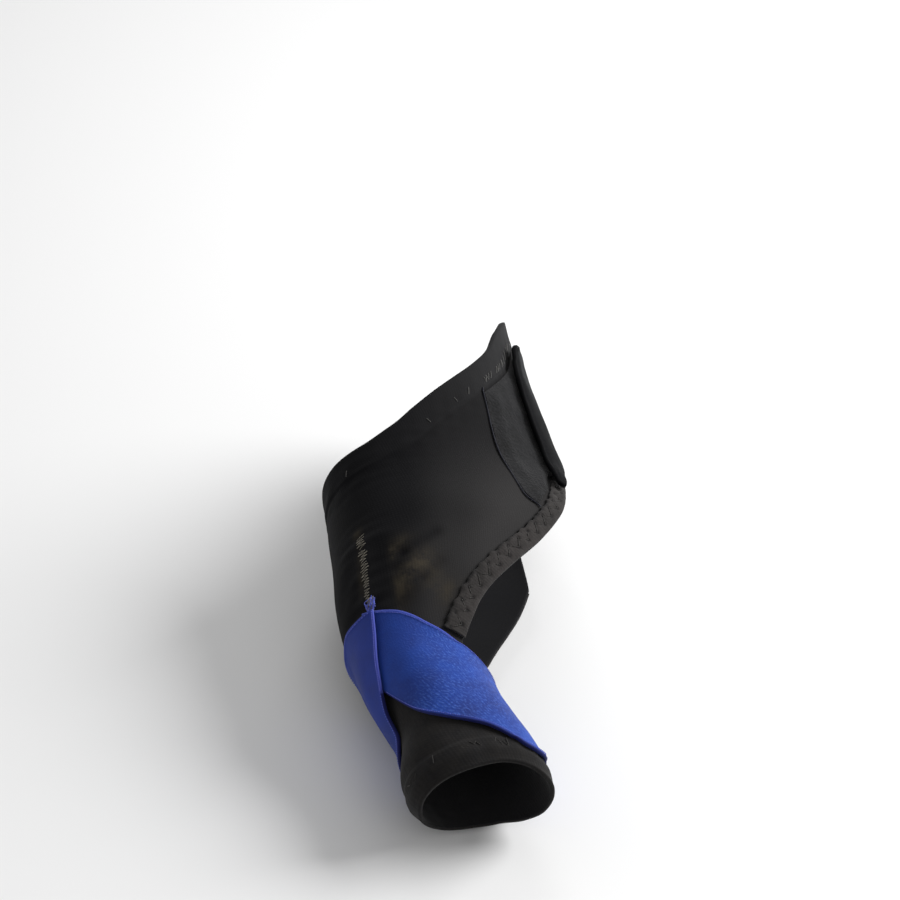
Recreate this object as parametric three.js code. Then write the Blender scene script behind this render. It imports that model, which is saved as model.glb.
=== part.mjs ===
// A fabric bunion corrector for a left foot, in the form that it has when it is worn.
// It is a midfoot wrap closed by a strap at the outer side, a sleeve for the big toe,
// and a blue elastic strap in two legs that cross the toe's base and draw the toe straight.
//
// Millimetres, +Z up. The toes point to -Y, and the big toe is on the -X side.
// The origin is the middle of the hollow that the midfoot fills.
//
// Every piece is a wall over one worn form. A place on the form is an angle round the foot
// (0 at the outer side, 90 on top, 180 at the inner side, 270 at the sole, in degrees)
// and a distance from the heel, kept as a share of the foot's length.

import * as THREE from "three";

// The foot that the corrector fits.
const footLength = 242;
const ballWidth = 88;
const instepHeight = 64;
const toeWidth = 27;
const toeHeight = 24;

// Cloth walls, from the skin outwards.
const wrapThickness = 1.5;
const sleeveThickness = 1.5;
const hemThickness = 0.7;
const loopThickness = 0.7;
const bandThickness = 0.9;
const strapThickness = 1.6;
const layerGap = 0.35;
const strapGap = 0.45;

// Hems and the strap.
const frontHemWidth = 5;
const rearHemWidth = 7;
const rimHemWidth = 6;
const hemTaper = 0.65;
const hemTaperRibs = 6;
const hemRise = 0.35;
const hemStep = 0.8;
const strapCorner = 5;
const strapFrontCorner = 1.2;
const strapBend = 0.45;
const strapClimbStart = 0.1;
const strapClimb = 0.25;
const strapLift = 0.6;
const strapLiftLength = 12;
const legLap = 3;
const legLapPlateau = 4.5;
const legLapRise = 3;
const foldWidth = 6.5;
const ridgeBow = 6;

const degree = Math.PI / 180;
const turn = 360;

// Sections of the foot from the instep to the ball. along is a share of footLength, mid,
// inner and outer are shares of ballWidth, and side, up and down are shares of instepHeight.
// lean shifts the top towards the big toe's side.
const footSections = [
  { along: 0.264, mid: 0.09, side: 0.563, inner: 0.318, outer: 0.386, up: 0.97, down: 0.438, lean: 0.05 },
  { along: 0.322, mid: 0.068, side: 0.516, inner: 0.318, outer: 0.398, up: 0.719, down: 0.422, lean: 0.08 },
  { along: 0.413, mid: 0.011, side: 0.438, inner: 0.341, outer: 0.411, up: 0.531, down: 0.391, lean: 0.13 },
  { along: 0.496, mid: -0.017, side: 0.375, inner: 0.335, outer: 0.414, up: 0.438, down: 0.344, lean: 0.2 },
  { along: 0.579, mid: -0.068, side: 0.309, inner: 0.33, outer: 0.454, up: 0.367, down: 0.297, lean: 0.25 },
  { along: 0.661, mid: -0.142, side: 0.263, inner: 0.313, outer: 0.58, up: 0.352, down: 0.258, lean: 0.23 },
  { along: 0.719, mid: -0.244, side: 0.238, inner: 0.25, outer: 0.614, up: 0.305, down: 0.234, lean: 0.17 },
];

// Sections of the big toe. mid is a share of ballWidth, inner and outer are shares of
// toeWidth, and side, up and down are shares of toeHeight.
const toeSections = [
  { along: 0.769, mid: -0.322, side: 0.608, inner: 0.55, outer: 1.407, up: 0.638, down: 0.56, lean: 0.12 },
  { along: 0.81, mid: -0.353, side: 0.6, inner: 0.437, outer: 0.55, up: 0.515, down: 0.545, lean: 0.08 },
  { along: 0.868, mid: -0.348, side: 0.554, inner: 0.4, outer: 0.481, up: 0.467, down: 0.538, lean: 0.03 },
  { along: 0.917, mid: -0.341, side: 0.508, inner: 0.57, outer: 0.507, up: 0.454, down: 0.525, lean: 0 },
  { along: 0.975, mid: -0.318, side: 0.458, inner: 0.62, outer: 0.474, up: 0.396, down: 0.483, lean: 0 },
  { along: 1.008, mid: -0.307, side: 0.44, inner: 0.53, outer: 0.4, up: 0.33, down: 0.42, lean: 0 },
];

// How square the sections' corners are, above the sides and below them. 2 is an ellipse.
const topRound = 2.1;
const soleRound = 2.2;

// Ribs of the midfoot wrap, from its upper end over the instep, round the big toe's side and
// under the sole to its lower end. Each runs from the rear edge to the front edge. Between
// the two web ribs the front edge is the seam with the toe sleeve, so along comes from there.
const wrapRibs = [
  { rear: -24, rearAlong: 0.326, front: -24, frontAlong: 0.56 },
  { rear: 0, rearAlong: 0.326, front: -2, frontAlong: 0.562 },
  { rear: 22, rearAlong: 0.335, front: 12, frontAlong: 0.592 },
  { rear: 34.5, rearAlong: 0.38, front: 19.5, frontAlong: 0.63 },
  { rear: 43, rearAlong: 0.426, front: 23.9, frontAlong: 0.673 },
  { rear: 55, rearAlong: 0.462, front: 27.8, frontAlong: 0.705 },
  { rear: 67, rearAlong: 0.485, front: 33, frontAlong: 0.727 },
  { rear: 79, rearAlong: 0.502, front: 39.3, frontAlong: 0.752 },
  { rear: 91.6, rearAlong: 0.517, front: 44, frontAlong: 0.782 },
  { rear: 104, rearAlong: 0.53, front: 48, web: true },
  { rear: 125, rearAlong: 0.539, front: 85 },
  { rear: 148, rearAlong: 0.533, front: 125 },
  { rear: 165, rearAlong: 0.527, front: 150 },
  { rear: 190, rearAlong: 0.524, front: 180 },
  { rear: 215, rearAlong: 0.517, front: 215 },
  { rear: 240, rearAlong: 0.496, front: 250 },
  { rear: 262, rearAlong: 0.467, front: 288 },
  { rear: 280, rearAlong: 0.434, front: 312, web: true },
  { rear: 295, rearAlong: 0.397, front: 317, frontAlong: 0.755 },
  { rear: 307, rearAlong: 0.364, front: 322, frontAlong: 0.69 },
  { rear: 318, rearAlong: 0.345, front: 328, frontAlong: 0.632 },
];

// The toe sleeve, a closed tube: its back edge, which meets the wrap, and its rim at the nail.
const sleeveRibs = [
  { angle: 0, back: 0.823, rim: 0.976 },
  { angle: 25, back: 0.821, rim: 0.974 },
  { angle: 48, back: 0.815, rim: 0.966 },
  { angle: 85, back: 0.808, rim: 0.958 },
  { angle: 125, back: 0.792, rim: 0.956 },
  { angle: 150, back: 0.786, rim: 0.954 },
  { angle: 183, back: 0.784, rim: 0.952 },
  { angle: 215, back: 0.786, rim: 0.946 },
  { angle: 250, back: 0.796, rim: 0.944 },
  { angle: 288, back: 0.81, rim: 0.95 },
  { angle: 312, back: 0.815, rim: 0.962 },
  { angle: 335, back: 0.821, rim: 0.972 },
];

// The two legs of the blue strap. The upper one runs from the web side of the toe over its top
// to the lapped ridge at the bunion, and the lower one from there under the toe to the web.
// rear is the edge nearer the heel and front the edge nearer the nail.
const upperLegRibs = [
  { rear: 1, rearAlong: 0.836, front: 1, frontAlong: 0.945 },
  { rear: 12, rearAlong: 0.834, front: 12, frontAlong: 0.948 },
  { rear: 28, rearAlong: 0.828, front: 28, frontAlong: 0.953 },
  { rear: 46, rearAlong: 0.813, front: 45, frontAlong: 0.948 },
  { rear: 59, rearAlong: 0.802, front: 59, frontAlong: 0.933 },
  { rear: 71, rearAlong: 0.792, front: 75, frontAlong: 0.921 },
  { rear: 83, rearAlong: 0.783, front: 91, frontAlong: 0.912 },
  { rear: 95, rearAlong: 0.773, front: 108, frontAlong: 0.902 },
  { rear: 107, rearAlong: 0.763, front: 125, frontAlong: 0.885 },
  { rear: 116, rearAlong: 0.757, front: 136, frontAlong: 0.863 },
  { rear: 126.5, rearAlong: 0.75, front: 150, frontAlong: 0.828 },
];
const lowerLegRibs = [
  { rear: 126.5, rearAlong: 0.75, front: 150, frontAlong: 0.828 },
  { rear: 143, rearAlong: 0.747, front: 162, frontAlong: 0.85 },
  { rear: 164, rearAlong: 0.741, front: 173, frontAlong: 0.872 },
  { rear: 188, rearAlong: 0.743, front: 189, frontAlong: 0.882 },
  { rear: 212, rearAlong: 0.755, front: 208, frontAlong: 0.887 },
  { rear: 236, rearAlong: 0.772, front: 230, frontAlong: 0.892 },
  { rear: 260, rearAlong: 0.792, front: 255, frontAlong: 0.904 },
  { rear: 284, rearAlong: 0.811, front: 282, frontAlong: 0.924 },
  { rear: 308, rearAlong: 0.825, front: 308, frontAlong: 0.938 },
  { rear: 335, rearAlong: 0.833, front: 335, frontAlong: 0.944 },
  { rear: 358, rearAlong: 0.836, front: 358, frontAlong: 0.945 },
];

// The edge of the loop panel on the instep, as ribs of the wrap from its rear to its front.
const loopEdge = [
  { share: 0, rib: 4.82 },
  { share: 0.3, rib: 4.9 },
  { share: 0.6, rib: 4.95 },
  { share: 0.82, rib: 5.05 },
  { share: 1, rib: 4.72 },
];

// The closure strap, from its sewn end beside the sole to its free end on the instep.
// Its free end is a table over its width, and its front edge is a table over its length.
const strapSewnAngle = -66;
const strapFreeEdge = [
  { share: 0, angle: 30.2 },
  { share: 0.25, angle: 30.6 },
  { share: 0.5, angle: 26.8 },
  { share: 0.72, angle: 22.8 },
  { share: 0.86, angle: 22.2 },
  { share: 1, angle: 23 },
];
const strapRearAlong = 0.39;
const strapFrontEdge = [
  { share: 0, along: 0.53 },
  { share: 0.7, along: 0.54 },
  { share: 0.86, along: 0.556 },
  { share: 0.91, along: 0.574 },
  { share: 0.955, along: 0.6 },
  { share: 0.985, along: 0.622 },
  { share: 1, along: 0.632 },
];

// Soft folds where the wrap is drawn towards the bunion: a line on the form, how far it
// stands out or in as a share of wrapThickness, and its width as a share of foldWidth.
const folds = [
  { angle: 118, along: 0.69, toAngle: 112, toAlong: 0.745, height: -0.4, width: 0.7 },
  { angle: 104, along: 0.69, toAngle: 92, toAlong: 0.735, height: 0.35, width: 1.0 },
  { angle: 108, along: 0.665, toAngle: 78, toAlong: 0.66, height: -0.25, width: 0.8 },
  { angle: 80, along: 0.72, toAngle: 66, toAlong: 0.775, height: -0.25, width: 0.8 },
];

// A smooth curve through named columns of a table. at names the column that it runs along;
// corners are rows where the curve may turn sharply. It never swings past its rows.
function curveThrough(rows, at, column, corners = []) {
  const xs = rows.map((row, i) => (at === null ? i : row[at]));
  const ys = rows.map((row) => row[column]);
  const steps = xs.slice(1).map((x, i) => x - xs[i]);
  const rises = steps.map((step, i) => (ys[i + 1] - ys[i]) / step);
  const slopeAt = (i, side) => {
    if (i === 0) return rises[0];
    if (i === xs.length - 1) return rises[i - 1];
    if (corners.includes(i)) return side < 0 ? rises[i - 1] : rises[i];
    if (rises[i - 1] * rises[i] <= 0) return 0;
    const before = 2 * steps[i] + steps[i - 1];
    const after = steps[i] + 2 * steps[i - 1];
    return (before + after) / (before / rises[i - 1] + after / rises[i]);
  };
  return (x) => {
    let i = 0;
    while (i < steps.length - 1 && x > xs[i + 1]) i += 1;
    const step = steps[i];
    const t = (x - xs[i]) / step;
    const s = 1 - t;
    const from = slopeAt(i, 1) * step;
    const to = slopeAt(i + 1, -1) * step;
    return (1 + 2 * t) * s * s * ys[i] + t * s * s * from + t * t * (3 - 2 * t) * ys[i + 1] - t * t * s * to;
  };
}

// The same for a table that closes on itself after a full turn.
function closedCurveThrough(rows, at, column) {
  const before = rows.slice(-2).map((row) => ({ ...row, [at]: row[at] - turn }));
  const after = rows.slice(0, 2).map((row) => ({ ...row, [at]: row[at] + turn }));
  const curve = curveThrough([...before, ...rows, ...after], at, column);
  return (angle) => curve(((angle % turn) + turn) % turn);
}

const smooth = (x) => {
  const t = Math.min(1, Math.max(0, x));
  return t * t * (3 - 2 * t);
};
const mix = (a, b, t) => a + (b - a) * t;

// The sections in millimetres, from the instep to the toe.
function sectionRows() {
  const inMillimetres = (row, width, height) => ({
    along: row.along * footLength,
    mid: row.mid * ballWidth,
    side: row.side * height,
    inner: row.inner * width,
    outer: row.outer * width,
    up: row.up * height,
    down: row.down * height,
    lean: row.lean,
  });
  return [
    ...footSections.map((row) => inMillimetres(row, ballWidth, instepHeight)),
    ...toeSections.map((row) => inMillimetres(row, toeWidth, toeHeight)),
  ];
}

const rows = sectionRows();
const sectionCurves = Object.fromEntries(
  Object.keys(rows[0])
    .filter((name) => name !== "along")
    .map((name) => [name, curveThrough(rows, "along", name)]),
);

// The seat of the midfoot: the middle of the section there is the origin.
const seatAlong = 0.53 * footLength;
const seat = {
  x: sectionCurves.mid(seatAlong),
  z: sectionCurves.side(seatAlong),
};

// A point of the worn form, the skin under the cloth.
function skinPoint(angle, along) {
  const at = (name) => sectionCurves[name](along);
  const c = Math.cos(angle * degree);
  const s = Math.sin(angle * degree);
  const across = c >= 0 ? at("outer") : at("inner");
  const high = s >= 0 ? at("up") : at("down");
  const round = s >= 0 ? topRound : soleRound;
  const reach = (Math.abs(c) / across) ** round + (Math.abs(s) / high) ** round;
  const radius = reach ** (-1 / round);
  const rise = radius * s;
  return new THREE.Vector3(
    at("mid") + radius * c - at("lean") * rise - seat.x,
    seatAlong - along,
    at("side") + rise - seat.z,
  );
}

// A point at a height over the skin, measured square to it.
function clothPoint(angle, along, height) {
  const angleStep = 0.5;
  const alongStep = 0.5;
  const round = skinPoint(angle + angleStep, along).sub(skinPoint(angle - angleStep, along));
  const forward = skinPoint(angle, along + alongStep).sub(skinPoint(angle, along - alongStep));
  const outward = round.cross(forward).normalize();
  return skinPoint(angle, along).addScaledVector(outward, height);
}

// How far two places on the form are apart, near enough for widths of hems and folds.
const surfaceGap = (a, b) => skinPoint(...a).distanceTo(skinPoint(...b));

// How far the folds lift or sink the wrap at a place.
function foldHeight(angle, along) {
  const here = skinPoint(angle, along);
  return folds.reduce((sum, fold) => {
    const from = skinPoint(fold.angle, fold.along * footLength);
    const to = skinPoint(fold.toAngle, fold.toAlong * footLength);
    const nearest = new THREE.Line3(from, to).closestPointToPoint(here, true, new THREE.Vector3());
    const away = here.distanceTo(nearest) / (fold.width * foldWidth);
    return sum + fold.height * wrapThickness * Math.exp(-away * away);
  }, 0);
}

// A closed wall over the form. place(s, t) gives { angle, along } for s round the foot and
// t along it; low and high give the heights of its inner and outer face over the skin.
function wall({ place, low, high, across, lengthwise, closed = false }) {
  const positions = [];
  const index = [];
  const columns = closed ? across.length - 1 : across.length;
  const rowCount = lengthwise.length;
  const layer = (height) => {
    for (let i = 0; i < columns; i += 1) {
      for (let j = 0; j < rowCount; j += 1) {
        const spot = place(across[i], lengthwise[j]);
        const lift = height(across[i], lengthwise[j], spot);
        const p = clothPoint(spot.angle, spot.along, lift);
        positions.push(p.x, p.y, p.z);
      }
    }
  };
  layer(high);
  layer(low);
  const under = columns * rowCount;
  const vertex = (i, j, side) => (i % columns) * rowCount + j + side * under;
  const quad = (a, b, c, d) => index.push(a, c, b, a, d, c);
  const spans = closed ? columns : columns - 1;
  for (let i = 0; i < spans; i += 1) {
    for (let j = 0; j < rowCount - 1; j += 1) {
      quad(vertex(i, j, 0), vertex(i, j + 1, 0), vertex(i + 1, j + 1, 0), vertex(i + 1, j, 0));
      quad(vertex(i, j, 1), vertex(i + 1, j, 1), vertex(i + 1, j + 1, 1), vertex(i, j + 1, 1));
    }
    const last = rowCount - 1;
    quad(vertex(i, 0, 0), vertex(i + 1, 0, 0), vertex(i + 1, 0, 1), vertex(i, 0, 1));
    quad(vertex(i, last, 1), vertex(i + 1, last, 1), vertex(i + 1, last, 0), vertex(i, last, 0));
  }
  if (!closed) {
    const end = columns - 1;
    for (let j = 0; j < rowCount - 1; j += 1) {
      quad(vertex(0, j, 1), vertex(0, j + 1, 1), vertex(0, j + 1, 0), vertex(0, j, 0));
      quad(vertex(end, j, 0), vertex(end, j + 1, 0), vertex(end, j + 1, 1), vertex(end, j, 1));
    }
  }
  const geometry = new THREE.BufferGeometry();
  geometry.setAttribute("position", new THREE.Float32BufferAttribute(positions, 3));
  geometry.setIndex(index);
  geometry.computeVertexNormals();
  return geometry;
}

// Evenly spaced values from one number to another, both ends included.
function evenly(from, to, count) {
  return Array.from({ length: count + 1 }, (unused, i) => mix(from, to, i / count));
}

// The place on a table of ribs: s counts the ribs, and t runs from rear to front.
function ribPlace(ribs) {
  const corners = ribs.flatMap((rib, i) => (rib.web ? [i] : []));
  const rear = curveThrough(ribs, null, "rear");
  const rearAlong = curveThrough(ribs, null, "rearAlong");
  const front = curveThrough(ribs, null, "front", corners);
  const frontAlong = curveThrough(ribs, null, "frontAlong", corners);
  return (s, t) => ({
    angle: mix(rear(s), front(s), t),
    along: mix(rearAlong(s), frontAlong(s), t) * footLength,
  });
}

const sleeveBack = closedCurveThrough(sleeveRibs, "angle", "back");
const sleeveRim = closedCurveThrough(sleeveRibs, "angle", "rim");

// The wrap's front edge stops short of the sleeve's back edge by the gap between layers.
const seamGap = layerGap / footLength;
const wrapRows = wrapRibs.map((rib) => ({
  ...rib,
  frontAlong: rib.frontAlong ?? sleeveBack(rib.front) - seamGap,
}));
const webRibs = wrapRows.flatMap((rib, i) => (rib.web ? [i] : []));
const lastRib = wrapRows.length - 1;
const wrapPlaceFree = ribPlace(wrapRows);

// On the seam between the web ribs the front edge follows the sleeve exactly.
function wrapPlace(s, t) {
  const spot = wrapPlaceFree(s, t);
  if (s <= webRibs[0] || s >= webRibs[1]) return spot;
  const end = wrapPlaceFree(s, 1);
  const seam = (sleeveBack(end.angle) - seamGap) * footLength;
  return { angle: spot.angle, along: spot.along + (seam - end.along) * t };
}

// The wrap's rear edge as a line on the form, and how far a place is from it.
const rearLine = evenly(0, lastRib, 4 * lastRib).map((rib) => {
  const spot = wrapPlace(rib, 0);
  return skinPoint(spot.angle, spot.along);
});
function fromRearEdge(angle, along) {
  const here = skinPoint(angle, along);
  const nearest = new THREE.Vector3();
  const distances = rearLine.slice(1).map((end, i) => {
    new THREE.Line3(rearLine[i], end).closestPointToPoint(here, true, nearest);
    return nearest.distanceTo(here);
  });
  return Math.min(...distances);
}

// The height of the wrap's outer face over the skin, with its turned rear hem.
function wrapFace(angle, along) {
  const beyond = (fromRearEdge(angle, along) - rearHemWidth) / hemStep;
  return wrapThickness + hemRise * (1 - smooth(beyond)) + foldHeight(angle, along);
}

const ribLength = (place, s) => {
  const pieces = 6;
  return evenly(0, 1, pieces).reduce((sum, t, i, all) => {
    if (i === 0) return 0;
    const a = place(s, all[i - 1]);
    const b = place(s, t);
    return sum + surfaceGap([a.angle, a.along], [b.angle, b.along]);
  }, 0);
};

// The share of a rib that a width over the rear edge takes up, found step by step.
function shareFromRear(rib, width) {
  const steps = 5;
  const firstGuess = 0.12;
  let share = firstGuess;
  for (let step = 0; step < steps; step += 1) {
    const spot = wrapPlace(rib, share);
    share *= width / fromRearEdge(spot.angle, spot.along);
  }
  return share;
}

// Rows of the wrap: 0 to 1 is the rear hem, 1 to 2 the step down, and 2 to 3 the rest.
function hemmedPlace(rib, row) {
  const hem = shareFromRear(rib, rearHemWidth);
  const foot = shareFromRear(rib, rearHemWidth + hemStep);
  if (row <= 1) return wrapPlace(rib, row * hem);
  if (row <= 2) return wrapPlace(rib, mix(hem, foot, row - 1));
  return wrapPlace(rib, mix(foot, 1, row - 2));
}

function midfootWrap() {
  return wall({
    place: hemmedPlace,
    low: (s, t, spot) => foldHeight(spot.angle, spot.along),
    high: (s, t, spot) => wrapFace(spot.angle, spot.along),
    across: evenly(0, lastRib, 3 * lastRib),
    lengthwise: [0, 0.5, 1, 1.5, ...evenly(2, 3, 12)],
  });
}

// A strip along the wrap's front edge, as wide as the hem, on the wrap's outer face.
function frontHem(fromRib, toRib, columns) {
  const step = 0.02;
  const inside = 0.9;
  const place = (s, t) => {
    const edge = wrapPlace(s, 1);
    const ahead = wrapPlace(Math.min(s + step, toRib), 1);
    const behind = wrapPlace(Math.max(s - step, fromRib), 1);
    const origin = skinPoint(edge.angle, edge.along);
    const tangent = skinPoint(ahead.angle, ahead.along);
    tangent.sub(skinPoint(behind.angle, behind.along)).normalize();
    const inward = wrapPlace(s, inside);
    const towards = skinPoint(inward.angle, inward.along).sub(origin);
    towards.addScaledVector(tangent, -towards.dot(tangent)).normalize();
    const width = frontHemWidth * mix(hemTaper, 1, smooth(Math.min(s, lastRib - s) / hemTaperRibs));
    const target = origin.addScaledVector(towards, (1 - t) * width);
    return nearestPlace(target, edge);
  };
  const base = wrapThickness + layerGap;
  const fold = (spot) => foldHeight(spot.angle, spot.along);
  return wall({
    place,
    low: (s, t, spot) => base + fold(spot),
    high: (s, t, spot) => base + hemThickness + fold(spot),
    across: evenly(fromRib, toRib, columns),
    lengthwise: evenly(0, 1, 3),
  });
}

// The place on the form nearest a point, from a first guess, by Newton steps.
function nearestPlace(target, guess) {
  let { angle, along } = guess;
  const angleStep = 0.2;
  const alongStep = 0.2;
  for (let round = 0; round < 6; round += 1) {
    const here = skinPoint(angle, along);
    const overAngle = skinPoint(angle + angleStep, along).sub(here).divideScalar(angleStep);
    const overAlong = skinPoint(angle, along + alongStep).sub(here).divideScalar(alongStep);
    const miss = target.clone().sub(here);
    const aa = overAngle.dot(overAngle);
    const ab = overAngle.dot(overAlong);
    const bb = overAlong.dot(overAlong);
    const determinant = aa * bb - ab * ab;
    angle += (miss.dot(overAngle) * bb - miss.dot(overAlong) * ab) / determinant;
    along += (miss.dot(overAlong) * aa - miss.dot(overAngle) * ab) / determinant;
  }
  return { angle, along };
}

// The loop panel on the wrap's outer side, between the two hems.
function loopPanel() {
  const edgeRib = curveThrough(loopEdge, "share", "rib");
  const place = (s, t) => {
    const rib = mix(0, edgeRib(t), s);
    const from = shareFromRear(rib, rearHemWidth + 2 * hemStep);
    const to = 1 - (frontHemWidth + hemStep) / ribLength(wrapPlace, rib) / frontSlant(rib);
    return wrapPlace(rib, mix(from, to, t));
  };
  const low = (s, t, spot) => wrapFace(spot.angle, spot.along) + layerGap;
  return wall({
    place,
    low,
    high: (s, t, spot) => low(s, t, spot) + loopThickness,
    across: evenly(0, 1, 24),
    lengthwise: evenly(0, 1, 9),
  });
}

// The sine of the angle between a rib and the front edge, where it meets that edge.
function frontSlant(rib) {
  const step = 0.05;
  const points = [wrapPlace(rib, 1), wrapPlace(rib, 1 - step), wrapPlace(rib + step, 1)];
  const [end, back, next] = points.map((spot) => skinPoint(spot.angle, spot.along));
  const along = back.sub(end).normalize();
  const edge = next.sub(end).normalize();
  return along.cross(edge).length();
}

// The strap comes up from beside the sole, bridges the wrap's opening and ends on the loops.
function closureStrap() {
  const radius = strapBend * ballWidth;
  const length = (strapFrontEdge.at(-1).along - strapRearAlong) * footLength;
  const freeAngle = curveThrough(strapFreeEdge, "share", "angle");
  const frontAlong = curveThrough(strapFrontEdge, "share", "along");
  const cut = (fromEdge, corner) => {
    const inside = Math.max(0, corner - fromEdge);
    return corner - Math.sqrt(corner * corner - inside * inside);
  };
  const place = (s, t) => {
    const rounding = Math.max(cut(t * length, strapCorner), cut((1 - t) * length, strapFrontCorner));
    const endAngle = freeAngle(t) - rounding / radius / degree;
    return {
      angle: mix(strapSewnAngle, endAngle, s),
      along: mix(strapRearAlong, frontAlong(s), t) * footLength,
    };
  };
  const sweep = (freeAngle(0) - strapSewnAngle) * degree * radius;
  const low = (s, t, spot) => {
    const fromFree = (1 - s) * sweep;
    const lift = strapLift * (1 - smooth(fromFree / strapLiftLength));
    const onLoops = (loopThickness + layerGap) * smooth((s - strapClimbStart) / strapClimb);
    return wrapFace(spot.angle, spot.along) + strapGap + onLoops + lift;
  };
  const near = strapCorner / length;
  const corner = [0, near / 8, near / 3, near / 1.6, near];
  const middle = evenly(near, 1 - near, 9).slice(1, -1);
  return wall({
    place,
    low,
    high: (s, t, spot) => low(s, t, spot) + strapThickness,
    across: [...evenly(0, 0.8, 20), ...evenly(0.83, 1, 8)],
    lengthwise: [...corner, ...middle, ...corner.map((t) => 1 - t).reverse()],
  });
}

// The height of the sleeve's outer face over the skin, with its turned hem at the rim.
function sleeveFace(angle, along) {
  const beyond = (sleeveRim(angle) * footLength - along - rimHemWidth) / hemStep;
  return sleeveThickness + hemRise * (1 - smooth(beyond));
}

function toeSleeve() {
  const place = (s, t) => ({ angle: s, along: mix(sleeveBack(s), sleeveRim(s), t) * footLength });
  return wall({
    place,
    low: () => 0,
    high: (s, t, spot) => sleeveFace(spot.angle, spot.along),
    across: evenly(0, turn, 40),
    lengthwise: [...evenly(0, 0.78, 6), 0.82, 0.86, 0.93, 1],
    closed: true,
  });
}

// One leg of the blue strap. It ends at the ridge, which bows towards the heel.
// The upper leg runs on under the lower one by the lap, and the lower one rises over it.
function toeStrapLeg(ribs, ridgeRib, over) {
  const last = ribs.length - 1;
  const free = ribPlace(ribs);
  const inward = ridgeRib === 0 ? 1 : -1;
  const place = (s, t) => {
    const spot = free(Math.min(Math.max(s, 0), last), t);
    const past = Math.max(0, (ridgeRib - s) * inward);
    const near = past > 0 ? 1 : Math.max(0, 1 - Math.abs(s - ridgeRib));
    const bow = ridgeBow * 4 * t * (1 - t) * near;
    const next = free(ridgeRib + inward, t);
    const pitch = surfaceGap([spot.angle, spot.along], [next.angle, next.along]);
    const beyond = past === 0 ? 0 : past * legLap / pitch;
    return {
      angle: spot.angle - bow + (spot.angle - next.angle) * beyond,
      along: spot.along + (spot.along - next.along) * beyond,
    };
  };
  const low = (s, t, spot) => {
    const base = Math.max(wrapThickness, sleeveFace(spot.angle, spot.along)) + layerGap;
    if (!over) return base;
    const ridge = place(ridgeRib, t);
    const past = surfaceGap([spot.angle, spot.along], [ridge.angle, ridge.along]) - legLapPlateau;
    return base + (bandThickness + layerGap) * (1 - smooth(past / legLapRise));
  };
  const lap = over ? [] : [last + 0.5, last + 1];
  const start = over ? [0, 0.2, 0.4, 0.6, 0.8] : [0, 0.5];
  return wall({
    place,
    low,
    high: (s, t, spot) => low(s, t, spot) + bandThickness,
    across: [...start, ...evenly(1, last, 2 * (last - 1)), ...lap],
    lengthwise: evenly(0, 1, 7),
  });
}

const group = new THREE.Group();
const black = { color: 0x232326, roughness: 0.85, metalness: 0 };
const fleece = { color: 0x2b2b2e, roughness: 0.95, metalness: 0 };
const blue = { color: 0x2a3a9c, roughness: 0.6, metalness: 0 };

function addPiece(name, geometry, look) {
  const mesh = new THREE.Mesh(geometry, new THREE.MeshStandardMaterial(look));
  mesh.name = name;
  group.add(mesh);
}

addPiece("midfoot_wrap", midfootWrap(), black);
addPiece("front_hem", frontHem(0, webRibs[0] - 0.5, 34), black);
addPiece("sole_hem", frontHem(webRibs[1] + 0.5, lastRib, 10), black);
addPiece("loop_panel", loopPanel(), fleece);
addPiece("closure_strap", closureStrap(), black);
addPiece("toe_sleeve", toeSleeve(), black);
addPiece("toe_strap_upper", toeStrapLeg(upperLegRibs, upperLegRibs.length - 1, false), blue);
addPiece("toe_strap_lower", toeStrapLeg(lowerLegRibs, 0, true), blue);

export default group;
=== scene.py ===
"""A fabric bunion corrector for a left foot, in the form that it has when it is worn.

Every cloth piece is a wall over one worn form. A place on the form is an angle round the foot
(0 at the outer side, 90 on top, 180 at the inner side, 270 at the sole, in degrees) and a
distance from the heel. Lengths are in metres, the toes point to -Y and +Z is up.
"""

import math

import bpy
import numpy as np
from mathutils import Matrix, Vector


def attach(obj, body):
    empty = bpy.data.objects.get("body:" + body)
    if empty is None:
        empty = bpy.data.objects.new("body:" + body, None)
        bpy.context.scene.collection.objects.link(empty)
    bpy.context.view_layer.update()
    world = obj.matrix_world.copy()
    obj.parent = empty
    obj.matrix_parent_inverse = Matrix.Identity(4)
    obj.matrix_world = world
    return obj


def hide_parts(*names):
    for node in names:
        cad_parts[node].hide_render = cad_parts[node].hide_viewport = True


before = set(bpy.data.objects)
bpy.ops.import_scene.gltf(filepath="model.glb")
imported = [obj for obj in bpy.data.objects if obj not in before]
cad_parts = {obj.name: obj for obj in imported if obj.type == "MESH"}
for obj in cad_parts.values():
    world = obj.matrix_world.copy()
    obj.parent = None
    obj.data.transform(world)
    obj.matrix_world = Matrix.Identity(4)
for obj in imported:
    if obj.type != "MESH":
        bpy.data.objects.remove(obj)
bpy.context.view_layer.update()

# The foot that the corrector fits
FOOT_LENGTH = 0.242
BALL_WIDTH = 0.088
INSTEP_HEIGHT = 0.064
TOE_WIDTH = 0.027
TOE_HEIGHT = 0.024

# Cloth walls, from the worn form outwards
WRAP_THICKNESS = 0.0015
SLEEVE_THICKNESS = 0.0015
HEM_THICKNESS = 0.0007
LOOP_THICKNESS = 0.0007
BAND_THICKNESS = 0.0009
STRAP_THICKNESS = 0.0016
LAYER_GAP = 0.00035
STRAP_GAP = 0.00045

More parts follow.
